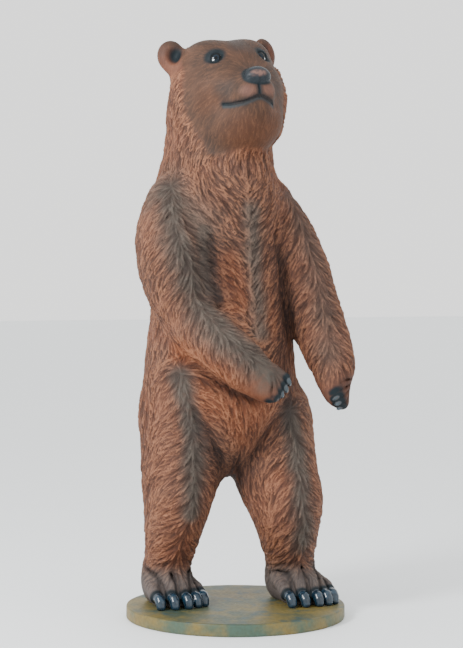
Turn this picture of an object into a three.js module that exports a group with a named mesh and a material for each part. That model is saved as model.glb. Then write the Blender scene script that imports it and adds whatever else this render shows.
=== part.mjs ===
// A standing brown bear, a painted hollow casting on a thin round base.
// Millimetres, +Z up. The bear faces -Y, so its own left side is +X.
// The figure is laid out on its own scale, from the sole up, and brought to figureHeight at the end.

import * as THREE from "three";

// Driving sizes
const figureHeight = 1978;
const baseDiameter = 760;
const baseThickness = 43;
const baseEdge = 4;
const seatGap = 0.3;

// How finely the figure is carved, in the figure's own units
const gridStep = 11;
const figureTriangles = 9000;
const baseSegments = 96;

// Fur clumps: distance apart, length, width and depth, in the figure's own units
const clumpSpacing = 52;
const clumpLength = 150;
const clumpWidth = 56;
const clumpDepth = 9;

// Round shapes. Each is a function that gives a point's distance outside the surface.

const egg = ([cx, cy, cz], [rx, ry, rz]) => (x, y, z) => {
  const dx = (x - cx) / rx;
  const dy = (y - cy) / ry;
  const dz = (z - cz) / rz;
  const reach = Math.sqrt(dx * dx + dy * dy + dz * dz);
  const ex = dx / rx;
  const ey = dy / ry;
  const ez = dz / rz;
  const slope = Math.sqrt(ex * ex + ey * ey + ez * ez);
  return slope > 1e-9 ? (reach * (reach - 1)) / slope : -Math.min(rx, ry, rz);
};

const ball = (centre, radius) => egg(centre, [radius, radius, radius]);

// A ball at each end with a straight taper between them
const taper = ([ax, ay, az], ra, [bx, by, bz], rb) => {
  const ux = bx - ax;
  const uy = by - ay;
  const uz = bz - az;
  const length2 = ux * ux + uy * uy + uz * uz;
  const length = Math.sqrt(length2);
  const slant = (ra - rb) / length;
  const lean = Math.sqrt(Math.max(1 - slant * slant, 0));
  return (x, y, z) => {
    const px = x - ax;
    const py = y - ay;
    const pz = z - az;
    const along = (px * ux + py * uy + pz * uz) / length;
    const out2 = px * px + py * py + pz * pz - along * along;
    const out = Math.sqrt(Math.max(out2, 0));
    const shifted = along * lean - out * slant;
    if (shifted < 0) return Math.sqrt(out * out + along * along) - ra;
    if (shifted > length * lean) return Math.sqrt(out * out + (along - length) ** 2) - rb;
    return out * lean + along * slant - ra;
  };
};

// Two distances joined with a fillet about this wide
const fillet = (a, b, width) => {
  const near = Math.max(width - Math.abs(a - b), 0) / width;
  return Math.min(a, b) - near * near * width * 0.25;
};

// Shapes joined in turn, each pair after the first given as [fillet width, shape]
const joined = (first, ...others) => (x, y, z) => {
  let d = first(x, y, z);
  for (const [width, shape] of others) d = fillet(d, shape(x, y, z), width);
  return d;
};

// A shape with others hollowed out of it, given as [fillet width, shape]
const hollowed = (body, ...cuts) => (x, y, z) => {
  let d = body(x, y, z);
  for (const [width, shape] of cuts) d = -fillet(-d, shape(x, y, z), width);
  return d;
};

// A shape laid out on its own side, forward and up axes, then placed and turned
const placed = (shape, [px, py, pz], [side, forward, up]) => (x, y, z) => {
  const dx = x - px;
  const dy = y - py;
  const dz = z - pz;
  return shape(
    dx * side[0] + dy * side[1] + dz * side[2],
    dx * forward[0] + dy * forward[1] + dz * forward[2],
    dx * up[0] + dy * up[1] + dz * up[2],
  );
};

// A shape that only needs working out within reach of a centre
const closeTo = (centre, reach, shape) => (x, y, z) => {
  const away = Math.sqrt((x - centre[0]) ** 2 + (y - centre[1]) ** 2 + (z - centre[2]) ** 2) - reach;
  return away > 70 ? away : shape(x, y, z);
};

const radians = THREE.MathUtils.degToRad;
const add = (a, b, share = 1) => a.map((value, i) => value + b[i] * share);
const dot = (a, b) => a[0] * b[0] + a[1] * b[1] + a[2] * b[2];
const unit = (a) => a.map((value) => value / (Math.sqrt(dot(a, a)) || 1));

// Side, forward and up axes for a turn left, a lift of the front and a lift of the left side
const axes = (left, lift, tilt) => {
  const level = [Math.sin(radians(left)), -Math.cos(radians(left)), 0];
  const across = [Math.cos(radians(left)), Math.sin(radians(left)), 0];
  const forward = add(level.map((v) => v * Math.cos(radians(lift))), [0, 0, 1], Math.sin(radians(lift)));
  const upright = add([0, 0, Math.cos(radians(lift))], level, -Math.sin(radians(lift)));
  const side = add(across.map((v) => v * Math.cos(radians(tilt))), upright, Math.sin(radians(tilt)));
  const up = add(upright.map((v) => v * Math.cos(radians(tilt))), across, -Math.sin(radians(tilt)));
  return [side, forward, up];
};

// A point or radius part of the way from b to c, on a smooth line through a, b, c and d
const between = ([a, b, c, d], t) => b.map((value, i) => {
  const pull = (c[i] - a[i]) * t;
  const bend = (2 * a[i] - 5 * value + 4 * c[i] - d[i]) * t * t;
  const twist = (3 * value - a[i] - 3 * c[i] + d[i]) * t ** 3;
  return 0.5 * (2 * value + pull + bend + twist);
});

// A limb drawn as a smooth line through its joints, each given as [x, y, z, radius]
const limbSteps = 3;
const limbLine = (joints) => {
  const beyond = (end, next) => end.map((value, i) => 2 * value - next[i]);
  const run = [beyond(joints[0], joints[1]), ...joints, beyond(joints.at(-1), joints.at(-2))];
  const line = [];
  for (let i = 0; i < joints.length - 1; i += 1) {
    const four = run.slice(i, i + 4);
    for (let step = 0; step < limbSteps; step += 1) line.push(between(four, step / limbSteps));
  }
  return [...line, joints.at(-1)];
};

const alongLine = (line) => {
  const pieces = line.slice(1).map((end, i) => {
    const start = line[i];
    return taper(start.slice(0, 3), start[3], end.slice(0, 3), end[3]);
  });
  return (x, y, z) => {
    let d = Infinity;
    for (const piece of pieces) d = Math.min(d, piece(x, y, z));
    return d;
  };
};

// Trunk, from the rump up to the neck
const trunk = joined(
  egg([-17, 88, 657], [260, 196, 205]),
  [90, egg([-18, 150, 620], [198, 130, 140])],
  [120, egg([-41, 60, 807], [253, 210, 240])],
  [140, egg([-22, 95, 1087], [242, 205, 340])],
  [100, egg([-24, 120, 1307], [238, 190, 210])],
  [90, egg([-24, 215, 1357], [160, 110, 230])],
  [110, taper([-28, 122, 1427], 199, [-28, 105, 1657], 179)],
  [90, egg([-22, -20, 1407], [120, 85, 170])],
);

// Head, laid out from the middle of the skull as side, forward and up
const headAt = [-12, 85, 1829];
const headTurn = axes(5, 15, 4);

// Each ear is a cupped disc turned out to its side
const earTurn = 24;
const earDisc = (side) => hollowed(
  joined(
    egg([0, 0, 4], [48, 25, 56]),
    [30, egg([side * -18, -6, -44], [34, 32, 40])],
  ),
  [10, egg([side * -14, 26, 0], [29, 26, 36])],
);
const earAxes = (side) => {
  const [across, level] = axes(side * earTurn, 0, 0);
  return [[across[0], -across[1], 0], [level[0], -level[1], 0], [0, 0, 1]];
};
const ear = (side) => placed(earDisc(side), [side * 180, -16, 101], earAxes(side));

const nostril = (side) => taper([7 + side * 24, 294, -86], 7, [7 + side * 46, 266, -80], 5);

const nose = hollowed(
  joined(
    egg([7, 252, -74], [47, 30, 29]),
    [14, egg([5, 236, -60], [40, 42, 25])],
  ),
  [6, nostril(-1)],
  [6, nostril(1)],
);

// The mouth, longer on the bear's right
const lipLine = [
  [-102, 174, -141, 4],
  [-80, 196, -148, 5],
  [-51, 224, -149, 5],
  [-30, 244, -148, 5],
  [0, 256, -142, 5],
  [30, 244, -149, 5],
  [51, 224, -156, 5],
  [60, 214, -161, 4],
];

const faceHalf = (side) => [
  [50, egg([side * 80, 25, 62], [76, 100, 68])],
  [70, egg([side * 91, -5, -84], [117, 136, 122])],
  [60, egg([side * 62, 100, -70], [82, 96, 84])],
];
const lip = (side) => egg([side * 32, 218, -119], [38, 38, 32]);

const headForm = hollowed(
  joined(
    egg([0, -8, 14], [162, 168, 122]),
    ...faceHalf(-1),
    ...faceHalf(1),
    [50, egg([0, 92, 0], [105, 92, 85])],
    [60, egg([0, 72, -164], [136, 122, 90])],
    [60, egg([0, 100, -206], [116, 100, 80])],
    [50, taper([0, 100, -88], 98, [0, 196, -104], 69)],
    [40, taper([0, 84, -158], 84, [0, 174, -170], 56)],
    [24, lip(-1)],
    [24, lip(1)],
  ),
  [6, alongLine(lipLine)],
  [6, taper([0, 258, -147], 4, [0, 266, -106], 4)],
  [16, ball([-89, 150, 36], 20)],
  [16, ball([89, 150, 36], 20)],
);

const headShape = joined(
  headForm,
  [7, nose],
  [26, ear(-1)],
  [26, ear(1)],
  [3, ball([-81, 131, 36], 24)],
  [3, ball([81, 131, 36], 24)],
);
const head = closeTo(headAt, 320, placed(headShape, headAt, headTurn));

// Limbs
const rightArm = limbLine([
  [-178, 88, 1377, 120],
  [-217, 28, 1267, 127],
  [-215, 2, 1140, 115],
  [-182, -30, 1022, 92],
  [-78, -170, 887, 84],
  [20, -213, 797, 66],
  [48, -232, 766, 46],
]);
const leftArm = limbLine([
  [150, 85, 1387, 92],
  [193, 60, 1307, 97],
  [240, 20, 1192, 96],
  [271, -20, 1057, 93],
  [305, -75, 917, 86],
  [317, -118, 842, 74],
  [314, -142, 792, 61],
  [318, -153, 742, 44],
  [331, -164, 712, 26],
]);
const rightLeg = limbLine([
  [-138, 105, 637, 166],
  [-183, 68, 441, 131],
  [-202, 38, 357, 113],
  [-216, 52, 247, 93],
  [-218, 95, 137, 75],
  [-220, 122, 67, 69],
]);
const leftLeg = limbLine([
  [136, 90, 637, 166],
  [163, 30, 441, 142],
  [176, -20, 357, 129],
  [191, -12, 247, 101],
  [211, 30, 137, 80],
  [212, 58, 67, 74],
]);

// A curved claw: out along forward, then turning over to point down
const claw = (root, forward, down, radius, reach) => {
  const bend = (out, drop, share) => {
    const point = add(add(root, forward, reach * out), down, reach * drop);
    return [...point, radius * share];
  };
  return alongLine([bend(0, 0, 0.95), bend(0.36, 0.1, 1), bend(0.58, 0.48, 0.95), bend(0.62, 0.86, 0.6)]);
};

const toeCount = 5;
const toes = Array.from({ length: toeCount }, (_, i) => i - (toeCount - 1) / 2);

// A flat-soled hind foot from the back of the heel to the claw tips
const toeAcross = [-84, -33, 13, 51, 84];
const foot = (heel, tip) => {
  const run = [tip[0] - heel[0], tip[1] - heel[1]];
  const length = Math.hypot(...run);
  const turn = axes(THREE.MathUtils.radToDeg(Math.atan2(run[0], -run[1])), 0, 0);
  const parts = toes.map((k, order) => {
    const x = toeAcross[order];
    const y = length - 50 - Math.abs(k) ** 1.6 * 7;
    return {
      toe: [9, taper([x * 0.85, y - 78, 74], 26, [x, y, 42], 25)],
      claw: [4, claw([x, y + 10, 45], [0, 1, 0], [0, 0, -1], 17, 48)],
    };
  });
  const form = joined(
    taper([0, 60, 44], 58, [0, length - 108, 44], 82),
    [50, taper([0, 85, 108], 63, [0, length - 118, 56], 52)],
    ...parts.map((part) => part.toe),
    ...parts.map((part) => part.claw),
  );
  const middle = [(heel[0] + tip[0]) / 2, (heel[1] + tip[1]) / 2, 70];
  return closeTo(middle, 210, placed(form, [heel[0], heel[1], 0], turn));
};

// Directions as seen from the front right of the bear
const viewRight = [Math.cos(radians(-18)), Math.sin(radians(-18)), 0];
const viewNear = [Math.sin(radians(-18)), -Math.cos(radians(-18)), 0];
const seen = (right, near, up) => add(add([0, 0, up], viewRight, right), viewNear, near);

// Five short fingers with claws, spread along a row
const hand = (centre, row, finger, palm, pitch, reach) => {
  const [along, out, under] = [unit(row), unit(finger), unit(palm)];
  const parts = toes.map((k) => {
    const tip = add(add(centre, along, k * pitch), out, -k * k * 4);
    const knuckle = add(add(tip, out, -46), along, -k * 10);
    return {
      finger: [10, taper(knuckle, 23, tip, 15)],
      claw: [3, claw(add(add(tip, out, 5), under, -4), out, under, 10, reach)],
    };
  });
  const fingers = parts.map((part) => part.finger);
  const form = joined(fingers[0][1], ...fingers, ...parts.map((part) => part.claw));
  return closeTo(centre, 110, form);
};

const rightHand = hand(
  seen(147, 222, 768),
  seen(-0.76, 0.1, -0.62),
  seen(0.5, 0.35, -0.62),
  seen(-0.2, -0.9, -0.4),
  22,
  34,
);
const leftHand = hand(
  seen(359, 72, 744),
  seen(0.22, -0.1, -0.95),
  seen(-0.15, 0.85, -0.45),
  seen(-0.75, -0.3, -0.5),
  23,
  27,
);

const standing = joined(
  trunk,
  [60, alongLine(rightLeg)],
  [36, alongLine(leftLeg)],
  [40, foot([-244, 208], [-196, -58])],
  [40, foot([206, 132], [249, -152])],
  [40, alongLine(leftArm)],
  [24, alongLine(rightArm)],
  [50, head],
  [18, rightHand],
  [18, leftHand],
);
const figure = (x, y, z) => -fillet(-standing(x, y, z), z, 4);

// Surface of the figure, found on a grid of cubes that are each split into six corners-to-corner wedges

const blockCells = 4;

// The box around a shape: it starts as a point inside and each side moves out until it is clear
function boxAround(shape, start, step) {
  const low = [...start];
  const high = [...start];
  const clear = (axis, level) => {
    const [u, v] = [(axis + 1) % 3, (axis + 2) % 3];
    for (let a = low[u] - step; a <= high[u] + step; a += step) {
      for (let b = low[v] - step; b <= high[v] + step; b += step) {
        const point = [0, 0, 0];
        point[axis] = level;
        point[u] = a;
        point[v] = b;
        if (shape(...point) < step) return false;
      }
    }
    return true;
  };
  for (let moved = true; moved;) {
    moved = false;
    for (let axis = 0; axis < 3; axis += 1) {
      for (; !clear(axis, low[axis]); moved = true) low[axis] -= step;
      for (; !clear(axis, high[axis]); moved = true) high[axis] += step;
    }
  }
  return [low, high];
}

const trunkLine = -24;
const [gridLow, gridHigh] = boxAround(figure, [trunkLine, 88, 900], 4 * gridStep);

function sampleGrid(shape, step) {
  const block = step * blockCells;
  const blocks = gridHigh.map((high, i) => Math.ceil((high - gridLow[i]) / block));
  const size = blocks.map((n) => n * blockCells + 1);
  const values = new Float32Array(size[0] * size[1] * size[2]).fill(1e3);
  const index = (i, j, k) => (i * size[1] + j) * size[2] + k;
  const near = block * 1.05;
  const wanted = new Uint8Array(values.length);
  const live = [];
  for (let i = 0; i < blocks[0]; i += 1) {
    for (let j = 0; j < blocks[1]; j += 1) {
      for (let k = 0; k < blocks[2]; k += 1) {
        const middle = [i, j, k].map((n, a) => gridLow[a] + (n + 0.5) * block);
        const d = shape(...middle);
        if (Math.abs(d) > near) {
          fillBlock(values, index, i, j, k, d);
        } else {
          live.push([i, j, k]);
        }
      }
    }
  }
  for (const [i, j, k] of live) {
    for (let a = 0; a <= blockCells; a += 1) {
      for (let b = 0; b <= blockCells; b += 1) {
        for (let c = 0; c <= blockCells; c += 1) {
          const [x, y, z] = [i * blockCells + a, j * blockCells + b, k * blockCells + c];
          const at = index(x, y, z);
          if (wanted[at]) continue;
          wanted[at] = 1;
          values[at] = shape(gridLow[0] + x * step, gridLow[1] + y * step, gridLow[2] + z * step);
        }
      }
    }
  }
  return { values, size, index, live, step };
}

function fillBlock(values, index, i, j, k, value) {
  for (let a = 0; a <= blockCells; a += 1) {
    for (let b = 0; b <= blockCells; b += 1) {
      for (let c = 0; c <= blockCells; c += 1) {
        values[index(i * blockCells + a, j * blockCells + b, k * blockCells + c)] = value;
      }
    }
  }
}

// The six wedges of a cube, each from corner 0 to corner 7 along the cube's edges
const wedges = [
  [0, 1, 3, 7],
  [0, 3, 2, 7],
  [0, 2, 6, 7],
  [0, 6, 4, 7],
  [0, 4, 5, 7],
  [0, 5, 1, 7],
];

function surface(grid) {
  const { values, index, live, step } = grid;
  const points = [];
  const triangles = [];
  const found = new Map();
  const cut = (a, b) => {
    const [low, high] = a.at < b.at ? [a, b] : [b, a];
    const key = low.at * 8 + (high.corner ^ low.corner);
    let vertex = found.get(key);
    if (vertex === undefined) {
      const t = low.value / (low.value - high.value);
      vertex = points.length / 3;
      for (let axis = 0; axis < 3; axis += 1) {
        points.push(gridLow[axis] + step * (low.cell[axis] + (high.cell[axis] - low.cell[axis]) * t));
      }
      found.set(key, vertex);
    }
    return vertex;
  };
  for (const [i, j, k] of live) {
    for (let a = 0; a < blockCells; a += 1) {
      for (let b = 0; b < blockCells; b += 1) {
        for (let c = 0; c < blockCells; c += 1) {
          const cell = [i * blockCells + a, j * blockCells + b, k * blockCells + c];
          cutCube(cell, values, index, cut, triangles);
        }
      }
    }
  }
  return { points, triangles };
}

function cutCube(cell, values, index, cut, triangles) {
  const corners = [];
  let inside = 0;
  for (let corner = 0; corner < 8; corner += 1) {
    const [x, y, z] = [cell[0] + (corner & 1), cell[1] + ((corner >> 1) & 1), cell[2] + (corner >> 2)];
    const at = index(x, y, z);
    const value = values[at];
    if (value < 0) inside += 1;
    corners.push({ corner, at, value, cell: [x, y, z] });
  }
  if (inside === 0 || inside === 8) return;
  for (const wedge of wedges) {
    const [a, b, c, d] = wedge.map((corner) => corners[corner]);
    const held = (a.value < 0) + 2 * (b.value < 0) + 4 * (c.value < 0) + 8 * (d.value < 0);
    const order = wedgeOrders[held];
    if (!order) continue;
    const [p, q, r, s] = order.map((n) => [a, b, c, d][n]);
    const count = (held & 1) + ((held >> 1) & 1) + ((held >> 2) & 1) + ((held >> 3) & 1);
    if (count === 1) triangles.push(cut(p, q), cut(p, r), cut(p, s));
    if (count === 3) triangles.push(cut(p, q), cut(p, s), cut(p, r));
    if (count === 2) {
      const [pr, ps, qs, qr] = [cut(p, r), cut(p, s), cut(q, s), cut(q, r)];
      triangles.push(pr, ps, qs, pr, qs, qr);
    }
  }
}

// For each pattern of corners held inside a wedge, an order with the odd corner or the held pair first
const wedgeOrders = {
  1: [0, 1, 2, 3], 2: [1, 0, 3, 2], 4: [2, 3, 0, 1], 8: [3, 2, 1, 0],
  14: [0, 1, 2, 3], 13: [1, 0, 3, 2], 11: [2, 3, 0, 1], 7: [3, 2, 1, 0],
  3: [0, 1, 2, 3], 5: [0, 2, 3, 1], 9: [0, 3, 1, 2],
  6: [1, 2, 0, 3], 10: [1, 3, 2, 0], 12: [2, 3, 0, 1],
};

// Fur

const noseTip = add(add(headAt, headTurn[1], 262), headTurn[2], -80);
const limbs = [rightArm, leftArm, rightLeg, leftLeg].map((line) => ({ line, shape: alongLine(line) }));

// The way the fur lies on the surface at a point, given the direction facing out of it
function lie(point, out) {
  const flow = flowAt(point, out);
  return unit(add(flow, out, -dot(flow, out)));
}

function flowAt([x, y, z], out) {
  const fromFace = add([x, y, z], noseTip, -1);
  if (Math.sqrt(dot(fromFace, fromFace)) < 330) return add(unit(fromFace), [0, 0, -1], 0.45);
  const nearest = limbs
    .map(({ line, shape }) => ({ line, d: shape(x, y, z) }))
    .reduce((best, next) => (next.d < best.d ? next : best));
  if (nearest.d < 12) {
    const along = limbDirection(nearest.line, [x, y, z]);
    return add(along, [0, -1, 0], -0.5);
  }
  if (out[1] < 0 && z > 900) {
    const inward = THREE.MathUtils.clamp((trunkLine - x) / 120, -0.7, 0.7);
    return [inward, 0, -1];
  }
  return [0, 0, -1];
}

function limbDirection(line, point) {
  let best = Infinity;
  let direction = [0, 0, -1];
  for (let i = 0; i < line.length - 1; i += 1) {
    const gap = add(point, line[i].slice(0, 3), -1);
    const far = dot(gap, gap);
    if (far < best) {
      best = far;
      direction = unit(add(line[i + 1].slice(0, 3), line[i].slice(0, 3), -1));
    }
  }
  return direction;
}

// How deep the fur is carved at a point: none on the face, the ears, the toes and the fingers
function furShare([x, y, z]) {
  const local = headTurn.map((axis) => dot(add([x, y, z], headAt, -1), axis));
  const [side, forward, up] = local;
  const face = THREE.MathUtils.smoothstep(forward + 0.35 * up, -30, 60) * (up > -260 ? 1 : 0);
  const ears = up > 30 && Math.abs(side) > 125 ? 1 : 0;
  const onHead = up > -270 ? Math.max(face, ears) : 0;
  const feet = 1 - THREE.MathUtils.smoothstep(z, 70, 150);
  const hands = [rightArm, leftArm].map((line) => {
    const gap = add([x, y, z], line.at(-1).slice(0, 3), -1);
    return 1 - THREE.MathUtils.smoothstep(Math.sqrt(dot(gap, gap)), 90, 160);
  });
  return 1 - Math.max(onHead, feet, ...hands);
}

// A number from 0 to 1 that is always the same for the same whole number
function scatter(n) {
  let v = (n + 1) * 2654435761;
  v = Math.imul(v ^ (v >>> 15), 2246822519);
  v = Math.imul(v ^ (v >>> 13), 3266489917);
  return ((v ^ (v >>> 16)) >>> 0) / 4294967296;
}

function pointAt(mesh, i) {
  return [mesh.points[3 * i], mesh.points[3 * i + 1], mesh.points[3 * i + 2]];
}

function outwardAt(mesh) {
  const out = new Float64Array(mesh.points.length);
  for (let i = 0; i < mesh.triangles.length; i += 3) {
    const corners = [0, 1, 2].map((n) => mesh.triangles[i + n]);
    const [a, b, c] = corners.map((n) => pointAt(mesh, n));
    const face = cross(add(b, a, -1), add(c, a, -1));
    for (const corner of corners) {
      for (let axis = 0; axis < 3; axis += 1) out[3 * corner + axis] += face[axis];
    }
  }
  return (i) => unit([out[3 * i], out[3 * i + 1], out[3 * i + 2]]);
}

function cross(a, b) {
  return [a[1] * b[2] - a[2] * b[1], a[2] * b[0] - a[0] * b[2], a[0] * b[1] - a[1] * b[0]];
}

// Points kept in boxes, so that those near a place are quickly found
function boxes(size) {
  const held = new Map();
  const box = (value) => Math.floor(value / size) + 64;
  const key = (x, y, z) => (box(x) * 256 + box(y)) * 256 + box(z);
  return {
    put(point, item) {
      const at = key(...point);
      if (!held.has(at)) held.set(at, []);
      held.get(at).push(item);
    },
    around([x, y, z]) {
      const items = [];
      for (const i of [-1, 0, 1]) {
        for (const j of [-1, 0, 1]) {
          for (const k of [-1, 0, 1]) {
            const found = held.get(key(x + i * size, y + j * size, z + k * size));
            if (found) items.push(...found);
          }
        }
      }
      return items;
    },
  };
}

// Clumps of fur laid over each other down the way the fur lies, as a raised ridge each
function carveFur(mesh) {
  const outward = outwardAt(mesh);
  const count = mesh.points.length / 3;
  const order = Array.from({ length: count }, (_, i) => i).sort((a, b) => scatter(a) - scatter(b));
  const spaced = boxes(clumpSpacing);
  const clumps = boxes(clumpLength);
  for (const i of order) {
    const point = pointAt(mesh, i);
    const crowded = spaced.around(point).some((other) => {
      const gap = add(other, point, -1);
      return dot(gap, gap) < clumpSpacing ** 2;
    });
    if (crowded) continue;
    spaced.put(point, point);
    const out = outward(i);
    const down = lie(point, out);
    clumps.put(point, { point, out, down, across: cross(out, down), size: 0.8 + 0.4 * scatter(i + 7) });
  }
  const carved = new Float64Array(mesh.points.length);
  for (let i = 0; i < count; i += 1) {
    const point = pointAt(mesh, i);
    const out = outward(i);
    const share = furShare(point);
    let height = 0;
    if (share > 0) {
      const near = clumps.around(point);
      height = near.reduce((most, clump) => Math.max(most, clumpHeight(clump, point, out)), 0);
    }
    const lift = (height - 0.5) * clumpDepth * share;
    for (let axis = 0; axis < 3; axis += 1) carved[3 * i + axis] = point[axis] + out[axis] * lift;
  }
  return { points: carved, triangles: mesh.triangles };
}

function clumpHeight({ point, out, down, across, size }, place, facing) {
  if (dot(out, facing) < 0.4) return 0;
  const gap = add(place, point, -1);
  const along = dot(gap, down) / (clumpLength * size) + 0.3;
  if (along < 0 || along > 1) return 0;
  const half = (clumpWidth / 2) * size * Math.sqrt(1 - along) * (0.75 + along);
  const aside = dot(gap, across) / half;
  if (Math.abs(aside) > 1) return 0;
  const rise = along < 0.7 ? 0.25 + (0.75 * along) / 0.7 : (1 - along) / 0.3;
  return (1 - aside * aside) * rise;
}

// Fewer, larger facets: the edge whose loss moves the surface least is taken out, again and again

function thinned(mesh, target) {
  const { triangles } = mesh;
  const points = Float64Array.from(mesh.points);
  const error = new Float64Array((points.length / 3) * 10);
  const around = Array.from({ length: points.length / 3 }, () => []);
  const gone = new Uint8Array(triangles.length / 3);
  for (let t = 0; t < gone.length; t += 1) {
    addPlane(points, triangles, error, t);
    for (let n = 0; n < 3; n += 1) around[triangles[3 * t + n]].push(t);
  }
  const skin = { points, triangles, error, around };
  const stamp = new Int32Array(around.length);
  const pile = smallestFirst();
  let left = gone.length;
  for (let limit = 10; left > target; limit *= 3) {
    const offer = (a, b) => {
      const cost = bestPlace(skin, a, b);
      if (cost < limit) pile.put(cost, a, b, stamp[a] + stamp[b]);
    };
    for (let t = 0; t < gone.length; t += 1) {
      if (gone[t]) continue;
      const [a, b, c] = [triangles[3 * t], triangles[3 * t + 1], triangles[3 * t + 2]];
      if (a < b) offer(a, b);
      if (b < c) offer(b, c);
      if (c < a) offer(c, a);
    }
    while (left > target && pile.take()) {
      const { a, b, when } = pile;
      if (around[a].length === 0 || around[b].length === 0 || stamp[a] + stamp[b] !== when) continue;
      bestPlace(skin, a, b);
      if (!mayMerge(skin, a, b)) continue;
      left -= merge(skin, gone, a, b);
      stamp[a] += 1;
      for (const other of neighbours(skin, a)) offer(a, other);
    }
  }
  return gathered(points, triangles, gone);
}

// Each point keeps a sum of squared distances to the planes of its facets, as ten numbers
function addPlane(points, triangles, error, t) {
  const [i, j, k] = [3 * triangles[3 * t], 3 * triangles[3 * t + 1], 3 * triangles[3 * t + 2]];
  const side = (to, axis) => points[to + axis] - points[i + axis];
  const [ux, uy, uz] = [side(j, 0), side(j, 1), side(j, 2)];
  const [vx, vy, vz] = [side(k, 0), side(k, 1), side(k, 2)];
  const [fx, fy, fz] = [uy * vz - uz * vy, uz * vx - ux * vz, ux * vy - uy * vx];
  const area = Math.sqrt(fx * fx + fy * fy + fz * fz);
  if (area === 0) return;
  const [a, b, c] = [fx / area, fy / area, fz / area];
  const d = -(a * points[i] + b * points[i + 1] + c * points[i + 2]);
  const plane = [a * a, a * b, a * c, a * d, b * b, b * c, b * d, c * c, c * d, d * d];
  for (let corner = 0; corner < 3; corner += 1) {
    const at = 10 * triangles[3 * t + corner];
    for (let n = 0; n < 10; n += 1) error[at + n] += plane[n] * area;
  }
}

// The place one point can take for both ends of an edge, left in the place list, and its error
const longEdgeCost = 2e-5;
const mostFacets = 18;
const place = new Float64Array(3);
const sum = new Float64Array(10);
function bestPlace({ points, error }, a, b) {
  for (let n = 0; n < 10; n += 1) sum[n] = error[10 * a + n] + error[10 * b + n];
  const mx = (points[3 * a] + points[3 * b]) / 2;
  const my = (points[3 * a + 1] + points[3 * b + 1]) / 2;
  const mz = (points[3 * a + 2] + points[3 * b + 2]) / 2;
  // A light pull towards the middle of the edge keeps the place steady where the surface is flat
  const pull = 1e-3 * (sum[0] + sum[4] + sum[7]) + 1e-6;
  const xx = sum[0] + pull;
  const xy = sum[1];
  const xz = sum[2];
  const yy = sum[4] + pull;
  const yz = sum[5];
  const zz = sum[7] + pull;
  const x = pull * mx - sum[3];
  const y = pull * my - sum[6];
  const z = pull * mz - sum[8];
  const det = xx * (yy * zz - yz * yz) - xy * (xy * zz - yz * xz) + xz * (xy * yz - yy * xz);
  let px = (x * (yy * zz - yz * yz) - xy * (y * zz - yz * z) + xz * (y * yz - yy * z)) / det;
  let py = (xx * (y * zz - yz * z) - x * (xy * zz - yz * xz) + xz * (xy * z - y * xz)) / det;
  let pz = (xx * (yy * z - y * yz) - xy * (xy * z - y * xz) + x * (xy * yz - yy * xz)) / det;
  const [hx, hy, hz] = [mx - points[3 * a], my - points[3 * a + 1], mz - points[3 * a + 2]];
  const length2 = 4 * (hx * hx + hy * hy + hz * hz);
  if ((px - mx) ** 2 + (py - my) ** 2 + (pz - mz) ** 2 > length2) [px, py, pz] = [mx, my, mz];
  place[0] = px;
  place[1] = py;
  place[2] = pz;
  const squares = sum[0] * px * px + sum[4] * py * py + sum[7] * pz * pz + sum[9];
  const linear = sum[3] * px + sum[6] * py + sum[8] * pz;
  const mixed = sum[1] * px * py + sum[2] * px * pz + sum[5] * py * pz + linear;
  return squares + 2 * mixed + longEdgeCost * length2 * length2;
}

function neighbours({ triangles, around }, a) {
  const found = [];
  for (const t of around[a]) {
    for (let n = 3 * t; n < 3 * t + 3; n += 1) {
      const other = triangles[n];
      if (other !== a && !found.includes(other)) found.push(other);
    }
  }
  return found;
}

// An edge may go when it leaves the skin whole and turns no facet over
function mayMerge(skin, a, b) {
  if (skin.around[a].length + skin.around[b].length - 4 > mostFacets) return false;
  const byA = neighbours(skin, a);
  let shared = 0;
  for (const other of neighbours(skin, b)) if (byA.includes(other)) shared += 1;
  return shared === 2 && keepsFacing(skin, a, b) && keepsFacing(skin, b, a);
}

function keepsFacing({ points, triangles, around }, moved, other) {
  for (const t of around[moved]) {
    let i = triangles[3 * t];
    let j = triangles[3 * t + 1];
    let k = triangles[3 * t + 2];
    if (i === other || j === other || k === other) continue;
    if (j === moved) [i, j, k] = [j, k, i];
    if (k === moved) [i, j, k] = [k, i, j];
    const ex = points[3 * k] - points[3 * j];
    const ey = points[3 * k + 1] - points[3 * j + 1];
    const ez = points[3 * k + 2] - points[3 * j + 2];
    const wx = points[3 * i] - points[3 * j];
    const wy = points[3 * i + 1] - points[3 * j + 1];
    const wz = points[3 * i + 2] - points[3 * j + 2];
    const nx = place[0] - points[3 * j];
    const ny = place[1] - points[3 * j + 1];
    const nz = place[2] - points[3 * j + 2];
    const [ax, ay, az] = [ey * wz - ez * wy, ez * wx - ex * wz, ex * wy - ey * wx];
    const [bx, by, bz] = [ey * nz - ez * ny, ez * nx - ex * nz, ex * ny - ey * nx];
    const was = Math.sqrt(ax * ax + ay * ay + az * az);
    const now = Math.sqrt(bx * bx + by * by + bz * bz);
    if (ax * bx + ay * by + az * bz < 0.3 * was * now) return false;
    const longest = longestOf(ex, ey, ez, nx, ny, nz);
    if (now < 0.02 * longest && now * longestOf(ex, ey, ez, wx, wy, wz) < was * longest) return false;
  }
  return true;
}

// The longest side, squared, of a facet with these two sides
function longestOf(ax, ay, az, bx, by, bz) {
  const opposite = (bx - ax) ** 2 + (by - ay) ** 2 + (bz - az) ** 2;
  return Math.max(ax * ax + ay * ay + az * az, bx * bx + by * by + bz * bz, opposite);
}

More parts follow.
